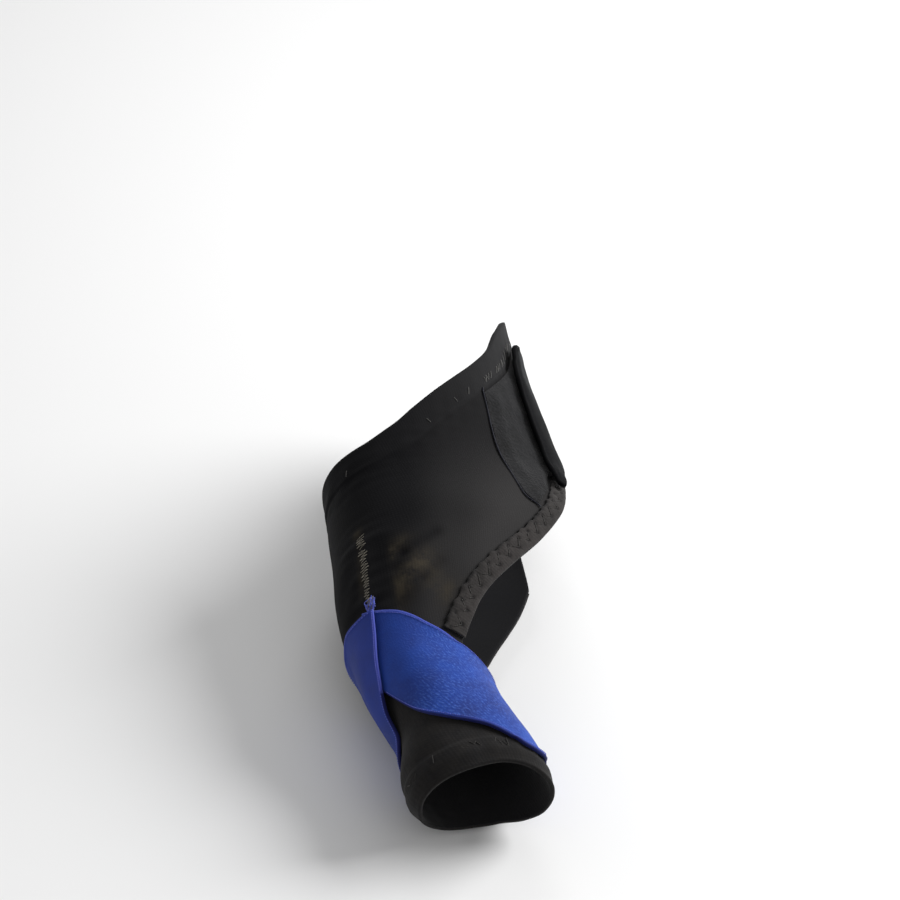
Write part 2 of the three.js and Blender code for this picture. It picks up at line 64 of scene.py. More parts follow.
# Hems, the strap and the lapped ridge
FRONT_HEM_WIDTH = 0.005
REAR_HEM_WIDTH = 0.007
RIM_HEM_WIDTH = 0.006
HEM_TAPER = 0.65
HEM_TAPER_RIBS = 6
HEM_RISE = 0.00035
HEM_STEP = 0.0008
STRAP_CORNER = 0.005
STRAP_FRONT_CORNER = 0.0012
STRAP_LIFT = 0.0006
STRAP_LIFT_LENGTH = 0.012
LEG_LAP = 0.003
LEG_LAP_PLATEAU = 0.0036
LEG_LAP_FADE = 0.009
FOLD_WIDTH = 0.0065
RIDGE_BOW = 6

# Sections of the foot, from the instep to the ball. along is a share of FOOT_LENGTH, centre,
# inner and outer are shares of BALL_WIDTH, and side, up and down are shares of INSTEP_HEIGHT.
SECTION_COLUMNS = ("along", "centre", "side", "inner", "outer", "up", "down", "lean")
FOOT_SECTIONS = [
    (0.264, 0.09, 0.563, 0.318, 0.386, 0.97, 0.438, 0.05),
    (0.322, 0.068, 0.516, 0.318, 0.398, 0.719, 0.422, 0.08),
    (0.413, 0.011, 0.438, 0.341, 0.411, 0.531, 0.391, 0.13),
    (0.496, -0.017, 0.375, 0.335, 0.414, 0.438, 0.344, 0.2),
    (0.579, -0.068, 0.309, 0.33, 0.454, 0.367, 0.297, 0.25),
    (0.661, -0.142, 0.263, 0.313, 0.58, 0.352, 0.258, 0.23),
    (0.719, -0.244, 0.238, 0.25, 0.614, 0.305, 0.234, 0.17),
]

# Sections of the big toe, with inner and outer as shares of TOE_WIDTH and side, up and down
# as shares of TOE_HEIGHT.
TOE_SECTIONS = [
    (0.769, -0.322, 0.608, 0.55, 1.407, 0.638, 0.56, 0.12),
    (0.81, -0.353, 0.6, 0.437, 0.55, 0.515, 0.545, 0.08),
    (0.868, -0.348, 0.554, 0.4, 0.481, 0.467, 0.538, 0.03),
    (0.917, -0.341, 0.508, 0.57, 0.507, 0.454, 0.525, 0),
    (0.975, -0.318, 0.458, 0.62, 0.474, 0.396, 0.483, 0),
    (1.008, -0.307, 0.44, 0.53, 0.4, 0.33, 0.42, 0),
]
TOP_ROUND = 2.1
SOLE_ROUND = 2.2
SEAT_ALONG = 0.53 * FOOT_LENGTH

# Ribs of the wrap: the angle and place of each end, from the rear edge to the front edge.
# None is a rib that ends on the seam with the toe sleeve.
WRAP_RIBS = [
    (-24, 0.326, -24, 0.56),
    (0, 0.326, -2, 0.562),
    (22, 0.335, 12, 0.592),
    (34.5, 0.38, 19.5, 0.63),
    (43, 0.426, 23.9, 0.673),
    (55, 0.462, 27.8, 0.705),
    (67, 0.485, 33, 0.727),
    (79, 0.502, 39.3, 0.752),
    (91.6, 0.517, 44, 0.782),
    (104, 0.53, 48, None),
    (125, 0.539, 85, None),
    (148, 0.533, 125, None),
    (165, 0.527, 150, None),
    (190, 0.524, 180, None),
    (215, 0.517, 215, None),
    (240, 0.496, 250, None),
    (262, 0.467, 288, None),
    (280, 0.434, 312, None),
    (295, 0.397, 317, 0.755),
    (307, 0.364, 322, 0.69),
    (318, 0.345, 328, 0.632),
]
WEB_RIBS = (9, 17)
LAST_RIB = len(WRAP_RIBS) - 1

# The toe sleeve's back edge and rim, by angle
SLEEVE_RIBS = [
    (0, 0.823, 0.976),
    (25, 0.821, 0.974),
    (48, 0.815, 0.966),
    (85, 0.808, 0.958),
    (125, 0.792, 0.956),
    (150, 0.786, 0.954),
    (183, 0.784, 0.952),
    (215, 0.786, 0.946),
    (250, 0.796, 0.944),
    (288, 0.81, 0.95),
    (312, 0.815, 0.962),
    (335, 0.821, 0.972),
]

# The blue strap's legs: angle and place of the edge nearer the heel, then of the other edge
UPPER_LEG_RIBS = [
    (1, 0.836, 1, 0.945),
    (12, 0.834, 12, 0.948),
    (28, 0.828, 28, 0.953),
    (46, 0.813, 45, 0.948),
    (59, 0.802, 59, 0.933),
    (71, 0.792, 75, 0.921),
    (83, 0.783, 91, 0.912),
    (95, 0.773, 108, 0.902),
    (107, 0.763, 125, 0.885),
    (116, 0.757, 136, 0.863),
    (126.5, 0.75, 150, 0.828),
]
LOWER_LEG_RIBS = [
    UPPER_LEG_RIBS[-1],
    (143, 0.747, 162, 0.85),
    (164, 0.741, 173, 0.872),
    (188, 0.743, 189, 0.882),
    (212, 0.755, 208, 0.887),
    (236, 0.772, 230, 0.892),
    (260, 0.792, 255, 0.904),
    (284, 0.811, 282, 0.924),
    (308, 0.825, 308, 0.938),
    (335, 0.833, 335, 0.944),
    (358, 0.836, 358, 0.945),
]

# The loop panel's edge: share of a rib, and which rib it is
LOOP_EDGE = [(0, 4.82), (0.3, 4.9), (0.6, 4.95), (0.82, 5.05), (1, 4.72)]

# The closing strap: its sewn end, its free edge by share of its width, and its long edges
STRAP_SEWN_ANGLE = -66
STRAP_FREE_EDGE = [(0, 30.2), (0.25, 30.6), (0.5, 26.8), (0.72, 22.8), (0.86, 22.2), (1, 23)]
STRAP_REAR_ALONG = 0.39
STRAP_FRONT_EDGE = [
    (0, 0.53),
    (0.7, 0.54),
    (0.86, 0.556),
    (0.91, 0.574),
    (0.955, 0.6),
    (0.985, 0.622),
    (1, 0.632),
]

# Folds of the wrap: from angle and share of the foot, to angle and share, height as a share
# of WRAP_THICKNESS and width as a share of FOLD_WIDTH
BROAD_FOLDS = [
    (118, 0.69, 112, 0.745, -0.4, 0.7),
    (104, 0.69, 92, 0.735, 0.35, 1.0),
    (108, 0.665, 78, 0.66, -0.25, 0.8),
    (80, 0.72, 66, 0.775, -0.25, 0.8),
]


def curve_through(xs, ys, corners=()):
    """A smooth curve through rows that never swings past them. It may turn sharply at corners."""
    xs = np.array(xs, float)
    ys = np.array(ys, float)
    steps = np.diff(xs)
    rises = np.diff(ys) / steps
    arriving = np.zeros(len(xs))
    leaving = np.zeros(len(xs))
    arriving[-1] = leaving[-1] = rises[-1]
    arriving[0] = leaving[0] = rises[0]
    for i in range(1, len(xs) - 1):
        if i in corners:
            arriving[i], leaving[i] = rises[i - 1], rises[i]
        elif rises[i - 1] * rises[i] > 0:
            before = 2 * steps[i] + steps[i - 1]
            after = steps[i] + 2 * steps[i - 1]
            slope = (before + after) / (before / rises[i - 1] + after / rises[i])
            arriving[i] = leaving[i] = slope

    def curve(x):
        x = np.asarray(x, float)
        i = np.clip(np.searchsorted(xs, x) - 1, 0, len(steps) - 1)
        t = (x - xs[i]) / steps[i]
        s = 1 - t
        start = (1 + 2 * t) * s * s * ys[i] + t * s * s * leaving[i] * steps[i]
        end = t * t * (3 - 2 * t) * ys[i + 1] - t * t * s * arriving[i + 1] * steps[i]
        return start + end

    return curve


def closed_curve_through(angles, ys):
    """The same for a table that closes on itself after a full turn."""
    wide = [a - 360 for a in angles[-2:]] + [*angles] + [a + 360 for a in angles[:2]]
    curve = curve_through(wide, [*ys[-2:], *ys, *ys[:2]])
    return lambda angle: curve(np.mod(angle, 360))


def smooth(x):
    t = np.clip(x, 0, 1)
    return t * t * (3 - 2 * t)


def bell(x):
    """1 at 0, and softly down to nothing on both sides."""
    return np.exp(-x * x)


def mix(a, b, t):
    return a + (b - a) * t


def section_curves():
    """Each column of the sections as a curve over the distance from the heel."""
    rows = []
    sizes = ((FOOT_SECTIONS, BALL_WIDTH, INSTEP_HEIGHT), (TOE_SECTIONS, TOE_WIDTH, TOE_HEIGHT))
    for table, width, height in sizes:
        scale = [FOOT_LENGTH, BALL_WIDTH, height, width, width, height, height, 1]
        rows += [np.multiply(row, scale) for row in table]
    columns = np.array(rows).T
    return {name: curve_through(columns[0], column) for name, column in zip(SECTION_COLUMNS, columns)}


SECTION = section_curves()
SEAT_X = float(SECTION["centre"](SEAT_ALONG))
SEAT_Z = float(SECTION["side"](SEAT_ALONG))


def form(angle, along):
    """Points of the worn form, under the cloth."""
    angle, along = np.broadcast_arrays(angle, along)
    at = {name: curve(along) for name, curve in SECTION.items()}
    c = np.cos(np.radians(angle))
    s = np.sin(np.radians(angle))
    across = np.where(c >= 0, at["outer"], at["inner"])
    high = np.where(s >= 0, at["up"], at["down"])
    power = np.where(s >= 0, TOP_ROUND, SOLE_ROUND)
    reach = (np.abs(c) / across) ** power + (np.abs(s) / high) ** power
    radius = reach ** (-1 / power)
    rise = radius * s
    x = at["centre"] + radius * c - at["lean"] * rise - SEAT_X
    return np.stack([x, SEAT_ALONG - along, at["side"] + rise - SEAT_Z], -1)


def length_of(v):
    return np.linalg.norm(v, axis=-1)


def unit(v):
    return v / np.maximum(length_of(v), 1e-12)[..., None]


def dot(a, b):
    return (a * b).sum(-1)


def outward(angle, along):
    """Directions square to the form."""
    turn_step = 0.5
    along_step = 0.0005
    round_foot = form(angle + turn_step, along) - form(angle - turn_step, along)
    forward = form(angle, along + along_step) - form(angle, along - along_step)
    return unit(np.cross(round_foot, forward))


def cloth(angle, along, height):
    """Points at a height over the form."""
    return form(angle, along) + outward(angle, along) * np.asarray(height)[..., None]


def to_segments(points, line):
    """How far points are from a line of straight pieces."""
    flat = points.reshape(-1, 3)
    best = np.full(len(flat), np.inf)
    for a, b in zip(line[:-1], line[1:]):
        way = b - a
        t = np.clip(((flat - a) @ way) / (way @ way), 0, 1)
        best = np.minimum(best, length_of(flat - a - t[:, None] * way))
    return best.reshape(points.shape[:-1])


def rib_place(rows, corners=()):
    """Places on a table of ribs: s counts the ribs, and t runs from the rear to the front."""
    count = range(len(rows))
    columns = list(zip(*rows))
    rear, rear_along = (curve_through(count, column) for column in columns[:2])
    front, front_along = (curve_through(count, column, corners) for column in columns[2:])

    def place(s, t):
        angle = mix(rear(s), front(s), t)
        return angle, mix(rear_along(s), front_along(s), t) * FOOT_LENGTH

    return place


SLEEVE_ANGLES, SLEEVE_BACKS, SLEEVE_RIMS = zip(*SLEEVE_RIBS)
sleeve_back = closed_curve_through(SLEEVE_ANGLES, SLEEVE_BACKS)
sleeve_rim = closed_curve_through(SLEEVE_ANGLES, SLEEVE_RIMS)
SEAM_GAP = LAYER_GAP / FOOT_LENGTH


def on_seam(row):
    """A wrap rib whose front end is on the seam gets its place from the sleeve."""
    seam = float(sleeve_back(row[2])) - SEAM_GAP
    return (*row[:3], seam if row[3] is None else row[3])


wrap_place_free = rib_place([on_seam(row) for row in WRAP_RIBS], WEB_RIBS)


def wrap_place(s, t):
    angle, along = wrap_place_free(s, t)
    end_angle, end = wrap_place_free(s, 1)
    seam = (sleeve_back(end_angle) - SEAM_GAP) * FOOT_LENGTH
    on = (s > WEB_RIBS[0]) & (s < WEB_RIBS[1])
    return angle, along + np.where(on, (seam - end) * t, 0)


def edge_line(place, share, first, last, count):
    """A line of points on the form, along one share of a table of ribs."""
    ribs = np.linspace(first, last, count)
    return form(*place(ribs, share))


REAR_LINE = edge_line(wrap_place, 0, 0, LAST_RIB, 4 * LAST_RIB + 1)


def folds_at(points, folds, size, width):
    """The height of a list of folds, each a soft ridge or valley along a straight line."""
    total = np.zeros(points.shape[:-1])
    for angle, along, to_angle, to_along, height, wide in folds:
        ends = form(np.array([angle, to_angle]), np.array([along, to_along]) * FOOT_LENGTH)
        away = to_segments(points, ends) / (wide * width)
        total += height * size * bell(away)
    return total


def ripple(points, wave, seed):
    """Soft, uneven waves from -1 to 1 or so, made of a few turned sines."""
    draw = np.random.default_rng(seed)
    total = np.zeros(points.shape[:-1])
    parts = 7
    for _ in range(parts):
        way = draw.normal(size=3)
        way *= 2 * math.pi / (wave * draw.uniform(0.7, 1.4) * np.linalg.norm(way))
        total += np.sin(points @ way + draw.uniform(0, 2 * math.pi))
    return total / math.sqrt(parts)


def wrap_folds(angle, along):
    return folds_at(form(angle, along), BROAD_FOLDS, WRAP_THICKNESS, FOLD_WIDTH)


def wrap_face(angle, along):
    """The height of the wrap's outer face over the form, with its turned rear hem."""
    beyond = (to_segments(form(angle, along), REAR_LINE) - REAR_HEM_WIDTH) / HEM_STEP
    return WRAP_THICKNESS + HEM_RISE * (1 - smooth(beyond)) + wrap_folds(angle, along)


def sleeve_face(angle, along):
    """The height of the sleeve's outer face over the form, with its turned hem at the rim."""
    beyond = (sleeve_rim(angle) * FOOT_LENGTH - along - RIM_HEM_WIDTH) / HEM_STEP
    return SLEEVE_THICKNESS + HEM_RISE * (1 - smooth(beyond))


def running_length(points, axis):
    """How far each point of a grid is along its line, from the line's start."""
    steps = length_of(np.diff(points, axis=axis))
    start = np.zeros_like(np.take(steps, [0], axis=axis))
    return np.concatenate([start, np.cumsum(steps, axis=axis)], axis=axis)


def evenly_along(place, share, first, last, count):
    """Values of s that are evenly spaced, in length, along one line of a piece."""
    dense = np.linspace(first, last, 800)
    run = running_length(form(*place(dense, np.full_like(dense, share))), 0)
    return np.interp(np.linspace(0, run[-1], count), run, dense)


def new_object(name, data):
    made = bpy.data.objects.new(name, data)
    bpy.context.scene.collection.objects.link(made)
    return made


def make_object(name, points, faces, material):
    mesh = bpy.data.meshes.new(name)
    mesh.from_pydata(points.tolist(), [], faces)
    mesh.polygons.foreach_set("use_smooth", np.ones(len(mesh.polygons), bool))
    if material:
        mesh.materials.append(material)
    return new_object(name, mesh)


def set_mark(mesh, name, values):
    """Keep one number for each vertex, for the materials to read."""
    kept = mesh.attributes.new(name, "FLOAT", "POINT")
    kept.data.foreach_set("value", np.asarray(values, np.float32))


def dressed(piece, slot, *nodes):
    """Join a piece to the one body, root, and hide the CAD nodes that it takes the place of."""
    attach(piece, "root")
    if nodes:
        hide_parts(*nodes)
    return piece


RIM_STEPS = 3


def cloth_piece(node, slot, angle, along, low, high, look, roll, marks, closed=False):
    """A closed wall of cloth with rounded edges, over a grid whose first axis runs round the foot.

    low and high are the heights of its faces over the form, and roll is how far its edges bulge.
    Its UV map is in metres: U along the middle row, and V from each line's start. marks are
    numbers for the materials, for each grid point. Under faces get the mark inner = 1.
    """
    base = form(angle, along)
    out = outward(angle, along)
    under = base + out * low[..., None]
    over = base + out * high[..., None]
    columns, rows = angle.shape
    grid = np.arange(columns * rows).reshape(columns, rows)

    inward_i = np.arange(columns)
    if closed:
        rims = [grid[:, 0], grid[::-1, -1]]
    else:
        rims = [np.concatenate([grid[:-1, 0], grid[-1, :-1], grid[:0:-1, -1], grid[0, ::-1]])]
        inward_i = np.clip(inward_i, 1, columns - 2)
    inward_j = np.clip(np.arange(rows), 1, rows - 2)
    inward = grid[inward_i][:, inward_j].ravel()

    top = over.reshape(-1, 3)
    bottom = under.reshape(-1, 3)
    middle = (top + bottom) / 2
    half = (top - bottom) / 2
    count = columns * rows
    points = [top, bottom]
    source = [np.arange(count), np.arange(count)]
    a, b, c, d = grid[:-1, :-1], grid[1:, :-1], grid[1:, 1:], grid[:-1, 1:]
    faces = [np.stack([a, b, c, d], -1).reshape(-1, 4), np.stack([a, d, c, b], -1).reshape(-1, 4) + count]
    same = [(grid[-1], grid[0]), (grid[-1] + count, grid[0] + count)] if closed else []
    made = 2 * count
    for rim in rims:
        ring = middle[rim]
        chord = unit(np.roll(ring, -1, 0) - np.roll(ring, 1, 0))
        chord[0] = unit(ring[1] - ring[-2])
        away = ring - middle[inward[rim]]
        away = unit(away - dot(away, chord)[:, None] * chord)
        lines = [rim]
        for k in range(1, RIM_STEPS + 1):
            turn = math.pi * (0.5 - k / (RIM_STEPS + 1))
            points.append(ring + half[rim] * math.sin(turn) + away * roll * math.cos(turn))
            source.append(rim)
            lines.append(made + np.arange(len(rim)))
            same.append((made + len(rim) - 1, made))
            made += len(rim)
        lines.append(rim + count)
        for upper, lower in zip(lines[:-1], lines[1:]):
            faces.append(np.stack([upper[:-1], lower[:-1], lower[1:], upper[1:]], -1))

    points = np.concatenate(points)
    source = np.concatenate(source)
    faces = np.concatenate(faces)
    u = np.broadcast_to(running_length(base[:, rows // 2][:, None], 0), (columns, rows))
    uv = np.stack([u, running_length(base, 1)], -1).reshape(-1, 2)[source]
    first = np.arange(len(points))
    for repeated, kept in same:
        first[repeated] = kept
    used, compact = np.unique(first, return_inverse=True)
    made = make_object(node + "_cloth", points[used], compact[faces].tolist(), look.material)
    layer = made.data.uv_layers.new(name="cloth")
    layer.data.foreach_set("uv", uv[faces.ravel()].astype(np.float32).ravel())
    for key, values in {"inner": 0, **marks}.items():
        full = np.broadcast_to(values, angle.shape).astype(float).ravel()[source]
        if key == "inner":
            full[count : 2 * count] = 1
        set_mark(made.data, key, full[used])
    return dressed(made, slot, node)


def grids(columns, rows):
    return np.meshgrid(columns, rows, indexing="ij")


class Signal:
    """A value that varies over a surface: a node's output. Sums on it make more nodes."""

    def __init__(self, look, socket):
        self.look = look
        self.socket = socket

    def __add__(self, other):
        return self.look.sum("ADD", self, other)

    def __sub__(self, other):
        return self.look.sum("SUBTRACT", self, other)

    def __rsub__(self, other):
        return self.look.sum("SUBTRACT", other, self)

    def __mul__(self, other):
        return self.look.sum("MULTIPLY", self, other)

    __radd__ = __add__
    __rmul__ = __mul__


class Look:
    """One material. fixed has the shader's own values, by socket."""

    def __init__(self, name, fixed):
        self.material = bpy.data.materials.new(name)
        self.material.use_nodes = True
        self.tree = self.material.node_tree
        self.shader = self.tree.nodes["Principled BSDF"]
        for socket, value in fixed.items():
            self.shader.inputs[socket].default_value = value

    def node(self, kind, output, settings, sockets):
        made = self.tree.nodes.new(kind)
        for name, value in settings.items():
            setattr(made, name, value)
        for socket, value in sockets.items():
            if isinstance(value, Signal):
                self.tree.links.new(value.socket, made.inputs[socket])
            else:
                made.inputs[socket].default_value = value
        return Signal(self, made.outputs[output])

    def sum(self, operation, *values):
        return self.node("ShaderNodeMath", 0, {"operation": operation}, dict(enumerate(values)))

    def scaled(self, vector, factors):
        return self.node("ShaderNodeVectorMath", 0, {"operation": "MULTIPLY"}, {0: vector, 1: factors})

    def wave(self, value):
        """A sine, from 0 to 1."""
        return self.sum("SINE", value) * 0.5 + 0.5

    def between(self, value, start, end):
        """0 before start, 1 after end, and a soft step in between."""
        sockets = {"Value": value, "From Min": start, "From Max": end}
        return self.node("ShaderNodeMapRange", 0, {"interpolation_type": "SMOOTHSTEP"}, sockets)

    def mix(self, factor, a, b):
        return self.node("ShaderNodeMix", 2, {"data_type": "RGBA"}, {0: factor, 6: a, 7: b})

    def layers(self, tone, dark, light, *coats):
        """A base from dark to light by tone, then coats, each a factor and the colour it brings."""
        colour = self.mix(tone, rgb(*dark), rgb(*light))
        for factor, coat in coats:
            colour = self.mix(factor, colour, rgb(*coat))
        self.link("Base Color", colour)

    def place(self):
        return self.node("ShaderNodeTexCoord", "Object", {}, {})

    def cloth_uv(self):
        """The cloth's own map, in metres, and its two parts."""
        uv = self.node("ShaderNodeUVMap", 0, {"uv_map": "cloth"}, {})
        parts = (self.node("ShaderNodeSeparateXYZ", axis, {}, {0: uv}) for axis in "XY")
        return uv, *parts

    def mark(self, name):
        return self.node("ShaderNodeAttribute", "Fac", {"attribute_name": name}, {})

    def noise(self, vector, scale, detail=3, roughness=0.55):
        sockets = {"Vector": vector, "Scale": scale, "Detail": detail, "Roughness": roughness}
        return self.node("ShaderNodeTexNoise", 0, {}, sockets)

    def link(self, socket, signal):
        self.tree.links.new(signal.socket, self.shader.inputs[socket])

    def bump(self, height, distance):
        made = self.node("ShaderNodeBump", 0, {}, {"Strength": 1.0, "Distance": distance, "Height": height})
        self.link("Normal", made)


def rgb(red, green, blue):
    """A colour as it shows on a screen, from 0 to 255, as the shader takes it."""
    parts = []
    for value in (red, green, blue):
        c = value / 255
        parts.append(c / 12.92 if c < 0.04045 else ((c + 0.055) / 1.055) ** 2.4)
    return (*parts, 1.0)


FABRIC = {"Specular IOR Level": 0.12, "Sheen Roughness": 0.5, "Sheen Tint": (1, 1, 1, 1)}
FULL_TURN = 2 * math.pi
# Painted highlight: the colour that the wrap's lit top and outer side are made towards
PAINTED_LIGHT = (47, 46, 46)
BRUSHED = (49, 49, 50)
DUST = (60, 54, 43)
SHADE = (3, 3, 6)
LINING = (28, 28, 30)


def knit_look(name, dark, light, sheen, gloss=0.12):
    """Black knitted elastic: fine wales and courses, mottled yarn, and by its marks brushed hems, dust,
    painted light and painted shade.
    """
    look = Look(name, {**FABRIC, "Specular IOR Level": gloss, "Sheen Weight": sheen})
    uv, u, v = look.cloth_uv()
    place = look.place()
    mottle = look.noise(place, 70, 4)
    yarn = look.noise(look.scaled(uv, (1.0, 0.45, 1.0)), 1500, 2)
    wander = look.noise(place, 260, 2)
    course = look.wave(v * (FULL_TURN / 0.0007) + wander * 4)
    wale = look.wave(u * (FULL_TURN / 0.0008) + course * 1.3 + wander * 6)
    tone = look.between(mottle * 0.65 + yarn * 0.45, 0.3, 0.8)
    dust = look.mark("dust") * look.between(look.noise(place, 260, 5, 0.65), 0.25, 0.65)
    look.layers(
        tone,
        dark,
        light,
        (wale * 0.08 + yarn * 0.1, [c * 1.3 for c in light]),
        # painted light on the wrap's lit top and outer side
        (look.mark("painted_light"), PAINTED_LIGHT),
        (look.mark("hem") * 0.5, BRUSHED),
        (dust * 0.85, DUST),
        (look.mark("shade"), SHADE),
        (look.mark("inner") * 0.7, LINING),
    )
    look.link("Roughness", 0.74 + 0.2 * mottle)
    look.bump(wale * 0.3 + course * 0.2 + yarn * 0.5, 0.00006)
    return look


def fleece_look(name):
    """Short brushed loops, matted in places."""
    look = Look(name, {**FABRIC, "Sheen Weight": 0.12})
    place = look.place()
    tuft = look.noise(place, 1300, 3, 0.65)
    matted = look.noise(place, 130, 3)
    tone = look.between(tuft * 0.75 + matted * 0.35, 0.4, 0.68)
    look.layers(tone, (8, 8, 9), (23, 23, 25), (look.mark("shade"), SHADE))
    look.link("Roughness", 0.85 + 0.12 * matted)
    look.bump(tuft + matted * 0.5, 0.0003)
    return look


def strap_look(name):
    """A dense fabric strap with a fine square grain, and a painted highlight along its lit outer face."""
    look = Look(name, {**FABRIC, "Specular IOR Level": 0.04, "Sheen Weight": 0.01})
    place = look.place()
    across, up = (look.wave(part * (FULL_TURN / 0.0006)) for part in look.cloth_uv()[1:])
    speck = look.noise(place, 1400, 2)
    mottle = look.noise(place, 90, 4)
    tone = look.between(mottle * 0.6 + speck * 0.5, 0.3, 0.8)
    # painted highlight on the strap's lit outer face; the shade mark is painted shade at its free end
    painted_highlight = (look.mark("painted_highlight") * 0.8, (40, 41, 42))
    look.layers(tone, (14, 14, 16), (24, 24, 26), painted_highlight, (look.mark("shade"), (3, 3, 5)))
    look.link("Roughness", 0.62 + 0.2 * mottle)
    look.bump(across * up * 0.5 + speck * 0.5, 0.00008)
    return look


def twill_look(name, dark, light, ribbed):
    """Blue elastic with fine slanting ribs, bright specks of yarn and smooth selvedges."""
    look = Look(name, {**FABRIC, "Sheen Weight": 0.03})
    uv, u, v = look.cloth_uv()
    place = look.place()
    slant = (u * 0.92 + v * 0.42) * (FULL_TURN / 0.0011) + look.noise(place, 220, 2) * 4.0
    broken = look.between(look.noise(place, 420, 2), 0.35, 0.65) * look.mark("open")
    rib = look.wave(slant) * (0.15 + 0.85 * broken)
    pick = look.wave((v * 0.92 - u * 0.42) * (FULL_TURN / 0.0009) + rib * 1.4)
    speck = look.between(look.noise(uv, 1500, 2), 0.47, 0.66) * ribbed
    mottle = look.noise(place, 85, 4)
    edge = look.mark("selvedge")
    shine = speck * (0.55 + 0.45 * rib) * look.mark("open") * (1 - edge * 0.7)
    look.layers(
        look.between(mottle * 0.8 + rib * (0.1 * ribbed), 0.05, 1.0),
        dark,
        light,
        (shine * 0.55, (74, 110, 194)),
        (edge * 0.4, (48, 60, 150)),
        (look.mark("border") * 0.85, (18, 18, 66)),
        (look.mark("lit") * 0.5, (84, 92, 180)),
        (look.mark("inner"), dark),
    )
    look.link("Roughness", 0.5 + 0.25 * mottle)
    look.bump((rib * 0.4 * ribbed + pick * 0.12) * (1 - edge * 0.6) + speck * 0.4, 0.00006)
    return look


def thread_look(name, colour):
    """Twisted sewing thread."""
    look = Look(name, {**FABRIC, "Sheen Weight": 0.2, "Roughness": 0.6})
    twist = look.noise(look.place(), 2600, 2)
    look.layers(twist, [c * 0.6 for c in colour], [c * 1.25 for c in colour])
    look.bump(twist, 0.00005)
    return look


wrap_look = knit_look("black_elastic", (6, 6, 8), (12, 12, 14), 0.03, 0.06)
hem_look = knit_look("black_binding", (29, 28, 27), (52, 49, 48), 0.06)
toe_look = knit_look("sleeve_elastic", (13, 13, 15), (25, 24, 25), 0.06)
loop_look = fleece_look("loop_fleece")
closure_look = strap_look("strap_fabric")
upper_look = twill_look("blue_elastic", (27, 41, 104), (36, 77, 172), 1.0)
# The lower leg's blue is a darker copy, painted shade for the leg that faces away from the key light; its
# ribs are also fainter
lower_look = twill_look("blue_elastic_painted_shade", (30, 44, 106), (41, 63, 154), 0.3)
dark_thread = thread_look("dark_thread", (46, 44, 42))
lint_thread = thread_look("lint_thread", (84, 83, 81))
light_thread = thread_look("light_thread", (120, 115, 104))
navy_thread = thread_look("navy_thread", (7, 8, 26))
blue_thread = thread_look("blue_thread", (88, 98, 190))


def stitch_tree():
    """Lay one short arc of thread at every point, along its direction and standing on up."""
    tree = bpy.data.node_groups.new("thread_arcs", "GeometryNodeTree")
    ports = (("Points", "Geometry"), ("Thread radius", "Float"), ("Rise", "Float"), ("Thread", "Material"))
    for name, kind in ports:
        tree.interface.new_socket(name, in_out="INPUT", socket_type="NodeSocket" + kind)
    tree.interface.new_socket("Stitches", in_out="OUTPUT", socket_type="NodeSocketGeometry")

    def node(kind, settings=None, **sockets):
        made = tree.nodes.new(kind)
        for name, value in (settings or {}).items():
            setattr(made, name, value)
        for name, value in sockets.items():
            socket = made.inputs[name.replace("_", " ")]
            if hasattr(value, "is_output"):
                tree.links.new(value, socket)
            else:
                socket.default_value = value
        return made.outputs[0]

    def kept(name, kind="FLOAT_VECTOR"):
        return node("GeometryNodeInputNamedAttribute", {"data_type": kind}, Name=name)

    inputs = tree.nodes.new("NodeGroupInput").outputs
    middle = node("ShaderNodeCombineXYZ", Z=inputs["Rise"])
    ends = {"Start": (-0.5, 0, 0), "End": (0.5, 0, 0)}
    arc = node("GeometryNodeCurveQuadraticBezier", Resolution=4, Middle=middle, **ends)
    ring = node("GeometryNodeCurvePrimitiveCircle", Resolution=5, Radius=inputs["Thread radius"])
    tube = node("GeometryNodeCurveToMesh", Curve=arc, Profile_Curve=ring, Fill_Caps=True)
    lying = node("FunctionNodeAlignRotationToVector", {"axis": "X"}, Vector=kept("direction"))
    standing = {"axis": "Z", "pivot_axis": "X"}
    turned = node("FunctionNodeAlignRotationToVector", standing, Rotation=lying, Vector=kept("up"))
    placed = node(
        "GeometryNodeInstanceOnPoints",
        Points=inputs["Points"],
        Instance=tube,
        Rotation=turned,
        Scale=node("ShaderNodeCombineXYZ", X=kept("span", "FLOAT"), Y=1.0, Z=1.0),
    )
    real = node("GeometryNodeRealizeInstances", Geometry=placed)
    soft = node("GeometryNodeSetShadeSmooth", Geometry=real)
    done = node("GeometryNodeSetMaterial", Geometry=soft, Material=inputs["Thread"])
    tree.links.new(done, tree.nodes.new("NodeGroupOutput").inputs["Stitches"])
    return tree
    return tree


def evaluated(holder, tree, name, values):
    """Run a tree on an object, and keep what it makes as a plain mesh."""
    modifier = holder.modifiers.new("repeats", "NODES")
    modifier.node_group = tree
    for item in tree.interface.items_tree:
        if item.in_out == "INPUT" and item.name in values:
            modifier[item.identifier] = values[item.name]
    holder.update_tag()
    depsgraph = bpy.context.evaluated_depsgraph_get()
    mesh = bpy.data.meshes.new_from_object(holder.evaluated_get(depsgraph), depsgraph=depsgraph)
    bpy.data.objects.remove(holder)
    mesh.name = name
    return new_object(name, mesh)


STITCHES = stitch_tree()


